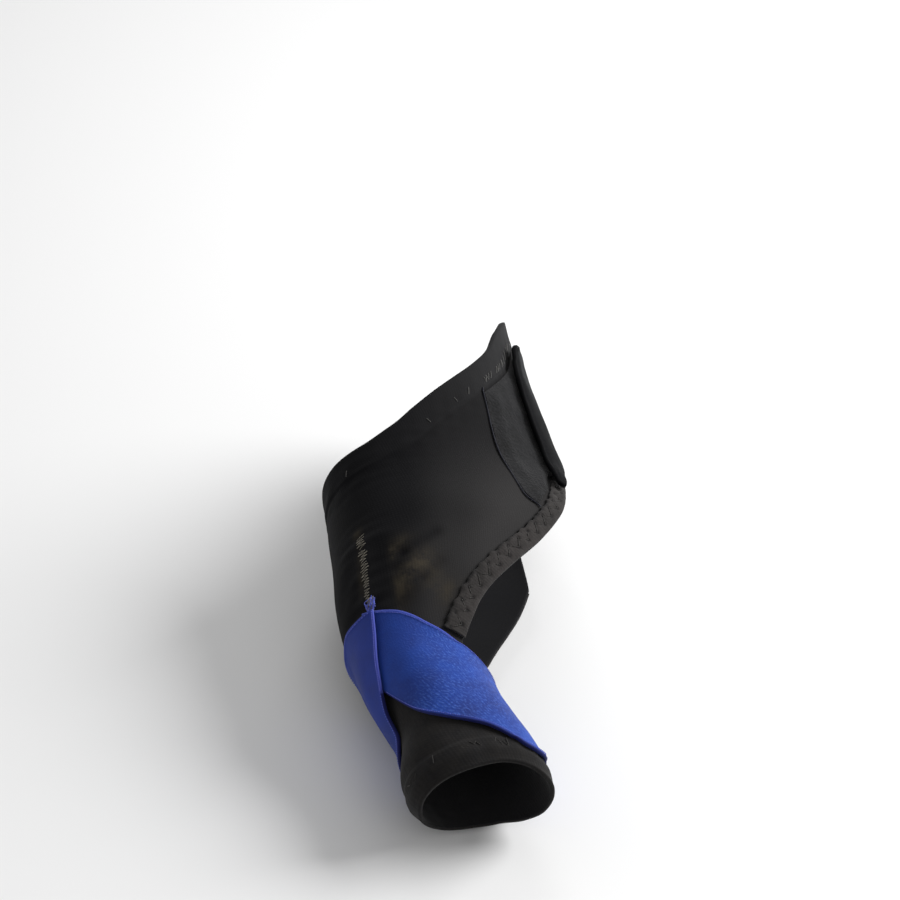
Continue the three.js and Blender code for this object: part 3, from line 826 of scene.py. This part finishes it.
class Stitches:
    """Stitches of one thread, gathered until they are made into one piece."""

    def __init__(self, name, look, slot, radius, rise):
        self.name = name
        self.slot = slot
        self.values = {"Thread radius": radius, "Rise": rise, "Thread": look.material}
        self.runs = []

    def run(self, angle, along, height, every=1, keep=1.0, seed=1):
        """Stitches between each point of a line and the next; every=2 leaves every second out."""
        points = cloth(angle, along, height)
        ups = outward(angle, along)
        chosen = np.arange(0, len(points) - 1, every)
        draw = np.random.default_rng(seed)
        keep = np.broadcast_to(keep, len(points))[chosen]
        chosen = chosen[draw.random(len(chosen)) < keep]
        self.runs.append((points[chosen], points[chosen + 1], unit(ups[chosen] + ups[chosen + 1])))

    def make(self):
        starts, ends, ups = (np.concatenate(x) for x in zip(*self.runs))
        holder = make_object(self.name + "_points", (starts + ends) / 2, [], None)
        for key, values in (("direction", unit(ends - starts)), ("up", ups)):
            kept = holder.data.attributes.new(key, "FLOAT_VECTOR", "POINT")
            kept.data.foreach_set("vector", values.astype(np.float32).ravel())
        set_mark(holder.data, "span", length_of(ends - starts))
        dressed(evaluated(holder, STITCHES, self.name, self.values), self.slot)


def share_from_rear(rib, width):
    """The share of a rib that a width over the rear edge takes up, found step by step."""
    share = np.full(np.shape(rib), 0.12)
    for _ in range(5):
        share = share * width / to_segments(form(*wrap_place(rib, share)), REAR_LINE)
    return share


def hemmed_place(s, row):
    """Rows of the wrap: 0 to 1 is the rear hem, 1 to 2 the step down, and 2 to 3 the rest."""
    ribs = s[:, :1]
    hem = share_from_rear(ribs, REAR_HEM_WIDTH)
    foot = share_from_rear(ribs, REAR_HEM_WIDTH + HEM_STEP)
    rest = mix(foot, 1, row - 2)
    share = np.where(row <= 1, row * hem, np.where(row <= 2, mix(hem, foot, row - 1), rest))
    return wrap_place(s, share)


# The dart's line over the instep, by angle and share of the foot
DART = [(137, 0.654), (135.2, 0.672), (134, 0.69), (133.4, 0.707), (132.8, 0.724), (131.5, 0.743)]
DART_ANGLES, DART_SHARES = np.array(DART).T
DART_LINE = form(DART_ANGLES, DART_SHARES * FOOT_LENGTH)

# How far the cloth of the wrap is drawn in or pushed out by its seams and by wear
WRINKLE = 0.00022
WRINKLE_WAVE = 0.024
CREASE = 0.0004
CREASE_WIDTH = 0.0015
PUCKER = 0.0002
PUCKER_WAVE = 0.0045
PUCKER_REACH = 0.006
GROOVE = 0.0002
GROOVE_WIDTH = 0.0009

# Creases that run from the dart over the instep: both ends as angle and share of the foot, depth
# as a share of CREASE and width as a share of CREASE_WIDTH
CREASES = [
    (82.5, 0.684, 104, 0.7, 1.0, 1.1),
    (104, 0.7, 109.5, 0.714, 0.9, 0.9),
    (88, 0.733, 105, 0.752, 0.7, 1.4),
    (75, 0.718, 86, 0.731, 0.6, 1.2),
]

# Patches of brown dust beside the dart: angle and share, their reach in both, and how dense
DUST_PATCHES = [
    (114, 0.696, 3, 0.007, 0.9),
    (90, 0.717, 11, 0.015, 0.8),
    (104, 0.735, 9, 0.02, 0.85),
    (108, 0.69, 8, 0.01, 0.5),
    (79, 0.735, 7, 0.011, 0.6),
    (65, 0.753, 8, 0.013, 0.7),
    (138.5, 0.648, 3, 0.006, 0.6),
    (137, 0.695, 2.5, 0.03, 0.5),
]
# The fold beside the dart where the dust ends: its angle at one share, and how it slants
DUST_END_ANGLE = 117.5
DUST_END_SHARE = 0.688
DUST_END_SLANT = 121


def wrap_dust(angle, share):
    """Where dust lies on the wrap. It ends sharply at a fold beside the dart."""
    total = np.zeros(angle.shape)
    for at_angle, at_share, wide, long, dense in DUST_PATCHES:
        total += dense * bell((angle - at_angle) / wide) * bell((share - at_share) / long)
    fold = DUST_END_ANGLE - DUST_END_SLANT * (share - DUST_END_SHARE)
    beside = np.where(angle < 125, smooth((fold - angle) / 2.5), 1)
    return np.minimum(total, 1) * beside


def wrap_relief(angle, along):
    """Fine wrinkles of the wrap, and puckers at its rear hem and its dart."""
    here = form(angle, along)
    crease = folds_at(here, CREASES, CREASE, CREASE_WIDTH)
    from_dart = to_segments(here, DART_LINE)
    hem = bell((to_segments(here, REAR_LINE) - REAR_HEM_WIDTH) / PUCKER_REACH)
    puckers = 0.5 * hem + 0.8 * bell(from_dart / PUCKER_REACH)
    drawn_in = GROOVE * bell(from_dart / GROOVE_WIDTH) + crease
    fine = PUCKER * ripple(here, PUCKER_WAVE, 3) * puckers
    return fine + WRINKLE * ripple(here, WRINKLE_WAVE, 5) - drawn_in


def wrap_top(angle, along):
    return wrap_face(angle, along) + wrap_relief(angle, along)


def wrap_piece():
    ribs = evenly_along(wrap_place, 0.5, 0, LAST_RIB, 250)
    for web in WEB_RIBS:
        ribs[np.argmin(np.abs(ribs - web))] = web
    rows = np.concatenate([np.linspace(0, 1, 10), np.linspace(1, 2, 4)[1:], np.linspace(2, 3, 92)[1:]])
    s, t = grids(ribs, rows)
    angle, along = hemmed_place(s, t)
    here = form(angle, along)
    share = along / FOOT_LENGTH

    hem = 1 - smooth((to_segments(here, REAR_LINE) - REAR_HEM_WIDTH) / 0.0015)
    beside_dart = bell(to_segments(here, DART_LINE) / 0.003)
    brushed = hem * mix(0.9, 0.15, smooth((s - 2) / 5)) + 0.35 * beside_dart
    beside_hem = bell(to_segments(here, HEM_LINE) / 0.0006)
    uneven = np.clip(0.55 + 0.5 * ripple(here, 0.009, 61), 0.1, 1)
    shade = np.clip(0.5 * folds_at(here, CREASES, 1, CREASE_WIDTH) + 0.9 * uneven * beside_hem, 0, 0.9)
    # Painted light: the wrap is made lighter on its top and outer side, in a spot on the outer side and
    # towards the toes, where the key light falls
    bright = bell((angle - 40) / 20) * bell((share - 0.67) / 0.08)
    top = smooth((105 - angle) / 35) * smooth((angle + 40) / 30)
    low_down = smooth((share - 0.66) / 0.04) * smooth((125 - angle) / 20)
    painted_light = 0.42 * top * mix(0.45, 1, smooth((share - 0.54) / 0.1)) + 0.55 * bright + 0.18 * low_down
    marks = {
        "hem": brushed,
        "dust": wrap_dust(angle, share),
        "shade": shade,
        "painted_light": np.minimum(painted_light, 1),
    }
    low = wrap_folds(angle, along) + wrap_relief(angle, along)
    high = wrap_top(angle, along)
    return cloth_piece("midfoot_wrap", "wrap_elastic", angle, along, low, high, wrap_look, 0.00025, marks)


def nearest_place(target, angle, along):
    """The place on the form nearest a point, from a first guess, by Newton steps."""
    angle_step = 0.2
    along_step = 0.0002
    for _ in range(6):
        here = form(angle, along)
        over_angle = (form(angle + angle_step, along) - here) / angle_step
        over_along = (form(angle, along + along_step) - here) / along_step
        miss = target - here
        aa = dot(over_angle, over_angle)
        ab = dot(over_angle, over_along)
        bb = dot(over_along, over_along)
        determinant = aa * bb - ab * ab
        to_angle = dot(miss, over_angle)
        to_along = dot(miss, over_along)
        angle = angle + (to_angle * bb - to_along * ab) / determinant
        along = along + (to_along * aa - to_angle * ab) / determinant
    return angle, along


# The binding's scalloped edge and its zigzag, whose sides are shares of the binding's width
SCALLOP = 0.00022
HEM_PITCH = 0.0042
HEM_SPACING = 0.0004
ZIGZAG_SIDES = (0.22, 0.66)
NEEDLE_HOLE = 0.0003
NEEDLE_HOLE_RADIUS = 0.00042
THREAD_PULL = 0.00012


def hem_strip(first_rib, last_rib):
    """Places on the binding along the wrap's front edge, evenly spaced ribs, and its length.

    t is 0 at the scalloped inner edge and 1 at the wrap's edge.
    """

    def edge(s):
        return form(*wrap_place(s, 1))

    dense = np.linspace(first_rib, last_rib, 600)
    run = running_length(edge(dense), 0)
    length = float(run[-1])

    def place(s, t):
        step = 0.02
        angle, along = wrap_place(s, 1)
        origin = form(angle, along)
        tangent = unit(edge(np.minimum(s + step, last_rib)) - edge(np.maximum(s - step, first_rib)))
        inward = form(*wrap_place(s, 0.9)) - origin
        towards = unit(inward - dot(inward, tangent)[..., None] * tangent)
        taper = smooth(np.minimum(s, LAST_RIB - s) / HEM_TAPER_RIBS)
        at = 2 * math.pi * np.interp(s, dense, run) / HEM_PITCH
        wave = np.sin(at) * (0.7 + 0.5 * np.sin(at * 0.29)) + 0.5 * np.sin(at * 1.7 + 2)
        width = FRONT_HEM_WIDTH * mix(HEM_TAPER, 1, taper) + SCALLOP * wave
        target = origin + towards * ((1 - t) * width)[..., None]
        return nearest_place(target, angle, along)

    ribs = np.interp(np.linspace(0, length, int(length / HEM_SPACING)), run, dense)
    return place, ribs, length


FRONT_HEM_END = WEB_RIBS[0] - 0.5
HEM_LINE = edge_line(hem_strip(0, FRONT_HEM_END)[0], 0, 0, FRONT_HEM_END, 60)


def hem_piece(node, first_rib, last_rib, stitches):
    """A binding with a zigzag of thread pulled into it."""
    place, ribs, length = hem_strip(first_rib, last_rib)
    s, t = grids(ribs, np.linspace(0, 1, 15))
    run = np.linspace(0, length, len(ribs))

    def zigzag(at):
        phase = np.mod(at / HEM_PITCH, 1)
        return mix(*ZIGZAG_SIDES, 1 - np.abs(2 * phase - 1))

    def face(angle, along):
        return WRAP_THICKNESS + LAYER_GAP + wrap_folds(angle, along)

    angle, along = place(s, t)
    here = form(angle, along)
    at = run[:, None]
    half = HEM_PITCH / 2
    nearest = np.round(at / half)
    side = np.where(nearest % 2, ZIGZAG_SIDES[1], ZIGZAG_SIDES[0])
    holes = bell(np.hypot(at - nearest * half, (t - side) * FRONT_HEM_WIDTH) / NEEDLE_HOLE_RADIUS)
    pulled = THREAD_PULL * bell((t - zigzag(at)) / 0.12) + NEEDLE_HOLE * holes
    puff = HEM_THICKNESS * (0.72 + 0.28 * smooth(np.minimum(t, 1 - t) / 0.12)) - pulled
    uneven = np.clip(0.5 + 0.5 * ripple(here, 0.007, 13), 0, 1)
    shade = np.clip(0.85 * holes + 0.7 * uneven * bell(t / 0.07), 0, 0.9)
    low = face(angle, along)
    high = low + puff + 0.00006 * ripple(here, 0.003, 11)
    marks = {"shade": shade}
    made = cloth_piece(node, "hem_binding", angle, along, low, high, hem_look, 0.00025, marks)

    steps = 3
    at = np.arange(0, 2 * int(length / HEM_PITCH) * steps) / (2 * steps) * HEM_PITCH
    angle, along = place(np.interp(at, run, ribs), zigzag(at))
    stitches.run(angle, along, face(angle, along) + HEM_THICKNESS - 0.0001, 1, 0.7, 15)
    return made


def loop_place(s, t):
    """Places on the loop panel: s runs from the wrap's end to the panel's edge on the instep."""
    edge_rib = curve_through(*zip(*LOOP_EDGE))
    rib = s * edge_rib(t)
    start = share_from_rear(rib, REAR_HEM_WIDTH + 2 * HEM_STEP)
    ends = [form(*wrap_place(rib, share)) for share in np.linspace(0, 1, 7)]
    length = sum(length_of(b - a) for a, b in zip(ends[:-1], ends[1:]))
    end, back = ends[-1], form(*wrap_place(rib, 0.95))
    beside = form(*wrap_place(rib + 0.05, 1))
    slant = length_of(np.cross(unit(back - end), unit(beside - end)))
    stop = 1 - (FRONT_HEM_WIDTH + HEM_STEP) / length / slant
    return wrap_place(rib, mix(start, stop, t))


def loop_piece(stitches):
    s, t = grids(np.linspace(0, 1, 130), np.linspace(0, 1, 80))
    angle, along = loop_place(s, t)
    here = form(angle, along)
    thin = smooth((1 - s) / 0.12) * smooth(np.minimum(t, 1 - t) / 0.08)
    low = wrap_face(angle, along) + LAYER_GAP
    high = low + LOOP_THICKNESS * mix(0.3, 1, thin) + 0.00007 * ripple(here, 0.006, 21)
    marks = {"shade": 0.95 * bell(to_segments(here, STRAP_END_LINE) / 0.0045)}
    made = cloth_piece("loop_panel", "loop_fleece", angle, along, low, high, loop_look, 0.0001, marks)
    at = np.linspace(-0.04, 1.03, 66)
    angle, along = loop_place(np.full_like(at, 1.008), at)
    stitches.run(angle, along, wrap_face(angle, along) + 0.0003)
    return made


# The radius that the strap bends to, and where it climbs onto the loops, by share of its length
STRAP_BEND = 0.45 * BALL_WIDTH
STRAP_CLIMB_START = 0.1
STRAP_CLIMB = 0.25


def closure_place():
    """Places on the closing strap, whose free end has rounded corners, and its width and length."""
    width = (STRAP_FRONT_EDGE[-1][1] - STRAP_REAR_ALONG) * FOOT_LENGTH
    free = curve_through(*zip(*STRAP_FREE_EDGE))
    front = curve_through(*zip(*STRAP_FRONT_EDGE))

    def cut(from_edge, corner):
        inside = np.maximum(0, corner - from_edge)
        return corner - np.sqrt(corner**2 - inside**2)

    def place(s, t):
        rounding = np.maximum(cut(t * width, STRAP_CORNER), cut((1 - t) * width, STRAP_FRONT_CORNER))
        end = free(t) - np.degrees(rounding / STRAP_BEND)
        return mix(STRAP_SEWN_ANGLE, end, s), mix(STRAP_REAR_ALONG, front(s), t) * FOOT_LENGTH

    return place, width, math.radians(float(free(0)) - STRAP_SEWN_ANGLE) * STRAP_BEND


STRAP_END_LINE = edge_line(lambda s, t: closure_place()[0](t, s), 1, 0, 1, 40)


def closure_piece():
    place, width, length = closure_place()
    near = np.array([0, 0.04, 0.12, 0.25, 0.42, 0.62, 0.82, 1]) * STRAP_CORNER / width
    inner = np.linspace(near[-1], 1 - near[-1], 60)[1:-1]
    rows = np.concatenate([near, inner, 1 - near[::-1]])
    columns = np.concatenate([np.linspace(0, 0.9, 120), np.linspace(0.9, 1, 30)[1:]])
    s, t = grids(columns, rows)
    angle, along = place(s, t)
    from_end = (1 - s) * length
    from_edge = np.minimum(from_end, np.minimum(t, 1 - t) * width)

    lift = STRAP_LIFT * (1 - smooth(from_end / STRAP_LIFT_LENGTH))
    on_loops = (LOOP_THICKNESS + LAYER_GAP) * smooth((s - STRAP_CLIMB_START) / STRAP_CLIMB)
    low = wrap_face(angle, along) + STRAP_GAP + on_loops + lift
    pressed = 0.00022 * bell(from_edge / 0.0012)
    high = low + STRAP_THICKNESS - pressed + 0.00008 * ripple(form(angle, along), 0.012, 31)
    # Painted shade darkens the free end, more so lower down. A painted highlight lightens the outer face
    # beyond it, mostly on the upper part.
    lower_down = smooth((t - 0.25) / 0.5)
    shadow = mix(0.0018, 0.003, lower_down)
    fade = mix(0.0012, 0.014, lower_down)
    marks = {
        "shade": 0.9 * (1 - smooth((from_end - shadow) / fade)),
        "painted_highlight": smooth((from_end - 0.002) / 0.001) * (1 - 0.7 * smooth((t - 0.3) / 0.4)),
    }
    return cloth_piece("closure_strap", "strap_fabric", angle, along, low, high, closure_look, 0.0004, marks)


RIM_THINNING = 0.0008
RIM_THINNING_REACH = 0.0035
RIM_STITCHES = 58


def sleeve_piece(stitches):
    s, t = grids(np.linspace(0, 360, 241), np.linspace(0, 1, 80))
    along = mix(sleeve_back(s), sleeve_rim(s), t) * FOOT_LENGTH
    here = form(s, along)
    from_rim = sleeve_rim(s) * FOOT_LENGTH - along
    hem = bell((from_rim - RIM_HEM_WIDTH) / 0.004)
    low = 0.00012 * (ripple(here, 0.0045, 41) * hem + ripple(here, 0.016, 43))
    high = sleeve_face(s, along) + low - RIM_THINNING * (1 - smooth(from_rim / RIM_THINNING_REACH))
    marks = {"dust": 0.1}
    made = cloth_piece("toe_sleeve", "sleeve_elastic", s, along, low, high, toe_look, 0.0002, marks, True)

    angle = np.linspace(0, 360, 2 * RIM_STITCHES + 1)
    draw = np.random.default_rng(73)
    behind = np.where(np.arange(len(angle)) % 2, 0.0042, 0.0056) + draw.uniform(-0.0006, 0.0006, len(angle))
    along = sleeve_rim(angle) * FOOT_LENGTH - behind
    stitches.run(angle, along, sleeve_face(angle, along) - 0.00004, 1, 0.35, 7)
    return made


def leg_place(table, ridge_rib):
    """Places on one leg of the blue strap. The upper leg runs on under the lower one."""
    last = len(table) - 1
    free = rib_place(table)
    inward = 1 if ridge_rib == 0 else -1

    def place(s, t):
        angle, along = free(np.clip(s, 0, last), t)
        past = np.maximum(0, (ridge_rib - s) * inward)
        near = np.where(past > 0, 1, np.maximum(0, 1 - np.abs(s - ridge_rib)))
        bow = RIDGE_BOW * 4 * t * (1 - t) * near
        next_angle, next_along = free(np.full_like(s, ridge_rib + inward), t)
        pitch = length_of(form(angle, along) - form(next_angle, next_along))
        beyond = np.where(past > 0, past * LEG_LAP / np.maximum(pitch, 1e-6), 0)
        return angle - bow + (angle - next_angle) * beyond, along + (along - next_along) * beyond

    return place


# The raised line along each long edge of the blue strap, and where its seams lie across it
EDGE_BEAD = 0.0001
EDGE_BEAD_WIDTH = 0.0005
LEG_SEAMS = (0.022, 0.978)


def leg_piece(node, table, over, look, stitches):
    """One leg of the blue strap. The one that is over lies on the other's end, at the ridge."""
    last = len(table) - 1
    ridge_rib = 0 if over else last
    place = leg_place(table, ridge_rib)
    ridge_line = edge_line(lambda t, s: place(s, t), ridge_rib, 0, 1, 50)
    ends = [] if over else [last + 0.25, last + 0.5, last + 0.75, last + 1]
    s, t = grids(np.concatenate([np.linspace(0, last, 190), ends]), np.linspace(0, 1, 71))

    def face(angle, along):
        height = np.maximum(WRAP_THICKNESS, sleeve_face(angle, along)) + LAYER_GAP
        if not over:
            return height
        past = to_segments(form(angle, along), ridge_line) - LEG_LAP_PLATEAU
        return height + (BAND_THICKNESS + LAYER_GAP) * (1 - smooth(past / LEG_LAP_FADE))

    angle, along = place(s, t)
    here = form(angle, along)
    width = length_of(form(*place(s, np.ones_like(t))) - form(*place(s, 0 * t)))
    from_edge = np.minimum(t, 1 - t) * width
    from_ridge = to_segments(here, ridge_line)
    bead = EDGE_BEAD * bell((from_edge - EDGE_BEAD_WIDTH) / EDGE_BEAD_WIDTH)
    low = face(angle, along)
    high = low + BAND_THICKNESS * 0.92 + bead + 0.00005 * ripple(here, 0.008, 51)
    near = np.minimum(from_edge, from_ridge) if over else from_edge
    # The lit mark is a painted highlight: along the ridge on the leg that is over, and along the edge nearer
    # the heel on the other
    highlight_edge = from_ridge if over else np.where(t < 0.5, from_edge, 1)
    marks = {
        "selvedge": 1 - smooth((near - 0.0003) / 0.0005),
        "border": np.where(t > 0.5, 1 - smooth((from_edge - 0.0002) / 0.0003), 0),
        "lit": 1 - smooth(highlight_edge / 0.0004),
        "open": smooth((from_ridge - 0.003) / 0.012),
    }
    made = cloth_piece(node, "blue_elastic", angle, along, low, high, look, 0.0002, marks)

    def sew(ribs, shares):
        angle, along = place(ribs, shares)
        stitches.run(angle, along, face(angle, along) + BAND_THICKNESS + 0.00008, 2)

    for share in LEG_SEAMS:
        ribs = evenly_along(place, share, 0.2 if over else 0.1, last - 0.1, 190)
        sew(ribs, np.full_like(ribs, share))
    if over:
        shares = np.linspace(0.03, 0.97, 90)
        sew(np.full_like(shares, 0.03), shares)
    return made


# Each thread's piece, with its slot, the thread's radius and how high each stitch stands
hem_thread = Stitches("hem_stitching", dark_thread, "hem_binding", 0.0001, 0.0002)
rear_thread = Stitches("rear_hem_stitching", lint_thread, "wrap_elastic", 0.0001, 0.0002)
rim_thread = Stitches("rim_stitching", dark_thread, "sleeve_elastic", 0.00009, 0.00015)
dart_thread = Stitches("dart_stitching", light_thread, "wrap_elastic", 0.00007, 0.0003)
panel_thread = Stitches("panel_stitching", navy_thread, "loop_fleece", 0.00022, 0.0001)
strap_thread = Stitches("strap_stitching", blue_thread, "blue_elastic", 0.0001, 0.00012)

wrap = wrap_piece()
front_hem = hem_piece("front_hem", 0, FRONT_HEM_END, hem_thread)
sole_hem = hem_piece("sole_hem", WEB_RIBS[1] + 0.5, LAST_RIB, hem_thread)
loop_panel = loop_piece(panel_thread)
closure = closure_piece()
sleeve = sleeve_piece(rim_thread)
upper = leg_piece("toe_strap_upper", UPPER_LEG_RIBS, False, upper_look, strap_thread)
lower = leg_piece("toe_strap_lower", LOWER_LEG_RIBS, True, lower_look, strap_thread)


def rear_hem_stitches():
    """What is left to see of the zigzag along the wrap's rear hem."""
    ribs = evenly_along(wrap_place, 0.06, 0.3, LAST_RIB - 0.3, 260)
    width = np.where(np.arange(len(ribs)) % 2, 0.0048, 0.0064)
    angle, along = wrap_place(ribs, share_from_rear(ribs, width))
    keep = 0.06 + 0.5 * bell((ribs - 4.4) / 1.5)
    rear_thread.run(angle, along, wrap_top(angle, along) + 0.00002, 1, keep, 9)


# The dart's zigzag, and the place of the bar tack at its end, by angle and share of the foot
DART_STITCHES = 54
TACK_STITCHES = 30
TACK_ANGLE = 130.3
TACK_REACH = 4.6
TACK_SHARES = (0.731, 0.7475)


def dart_stitches():
    """A dense zigzag of light thread over the dart, and the blue bar tack at its end."""
    way = np.linspace(0, 1, DART_STITCHES)
    knots = np.linspace(0, 1, len(DART))
    along = curve_through(knots, DART_SHARES)(way) * FOOT_LENGTH
    draw = np.random.default_rng(17)
    half_width = mix(3.6, 2.4, way) * draw.uniform(0.55, 1.15, DART_STITCHES)
    side = np.where(np.arange(DART_STITCHES) % 2, 1, -1)
    angle = curve_through(knots, DART_ANGLES)(way) + side * half_width
    dart_thread.run(angle, along, wrap_top(angle, along) + 0.00005, 1, 0.85, 19)
    for thread in (strap_thread, dart_thread, strap_thread):
        angle = TACK_ANGLE + draw.uniform(-TACK_REACH, TACK_REACH, TACK_STITCHES)
        along = draw.uniform(*TACK_SHARES, TACK_STITCHES) * FOOT_LENGTH
        height = wrap_face(angle, along) + draw.uniform(0.0002, 0.0011, TACK_STITCHES)
        thread.run(angle, along, height, 1, 0.5, 23)


rear_hem_stitches()
dart_stitches()
for thread in (hem_thread, rear_thread, rim_thread, dart_thread, panel_thread, strap_thread):
    thread.make()


def plain_look(name, colour, roughness):
    look = Look(name, {"Roughness": roughness, "Specular IOR Level": 0.2})
    tone = look.noise(look.place(), 3, 2)
    look.link("Base Color", look.mix(tone * 0.05, colour, (0.8, 0.8, 0.8, 1)))
    return look


FLOOR_HEIGHT = -0.0262
FLOOR_REACH = 3.0
corners = np.array([(-1, -1, 0), (1, -1, 0), (1, 1, 0), (-1, 1, 0)]) * FLOOR_REACH + (0, 0, FLOOR_HEIGHT)
floor_look = plain_look("pale_floor", (0.83, 0.83, 0.83, 1), 0.7)
floor = make_object("floor", corners, [(0, 1, 2, 3)], floor_look.material)


def soft_light(name, location, size, power):
    light = bpy.data.lights.new(name, "AREA")
    light.shape = "DISK"
    light.size = size
    light.energy = power
    made = new_object(name, light)
    made.location = location
    made.rotation_euler = (-Vector(location)).to_track_quat("-Z", "Y").to_euler()


soft_light("key", (0.68, -0.08, 0.45), 0.5, 9.5)
soft_light("fill", (-0.1, -0.7, 0.6), 0.8, 1.0)
soft_light("back", (0.25, 0.8, 0.55), 0.6, 2.5)
soft_light("side", (-0.75, 0.3, 0.2), 0.5, 1.2)
world = bpy.data.worlds.new("studio")
world.use_nodes = True
sky = world.node_tree.nodes["Background"].inputs
sky["Color"].default_value = (1, 1, 1, 1)
sky["Strength"].default_value = 0.3
bpy.context.scene.world = world
bpy.context.scene.view_settings.view_transform = "Standard"


def aim_camera():
    """The photograph's view of the part."""
    target = Vector((0.003678, -0.003953, 0.017452))
    azimuth, elevation, roll = (math.radians(x) for x in (-25.09, 32.558, 4.449))
    distance = 0.450
    flat = math.cos(elevation)
    back = Vector((math.sin(azimuth) * flat, -math.cos(azimuth) * flat, math.sin(elevation)))
    right = Vector((0, 0, 1)).cross(back).normalized()
    up = back.cross(right)
    across = right * math.cos(roll) + up * math.sin(roll)
    upright = up * math.cos(roll) - right * math.sin(roll)
    data = bpy.data.cameras.new("camera")
    data.lens = 65.22
    data.sensor_width = 36
    data.clip_start = 0.01
    made = new_object("camera", data)
    turned = Matrix((across, upright, back)).transposed().to_4x4()
    turned.translation = target + back * distance
    made.matrix_world = turned
    bpy.context.scene.camera = made


aim_camera()
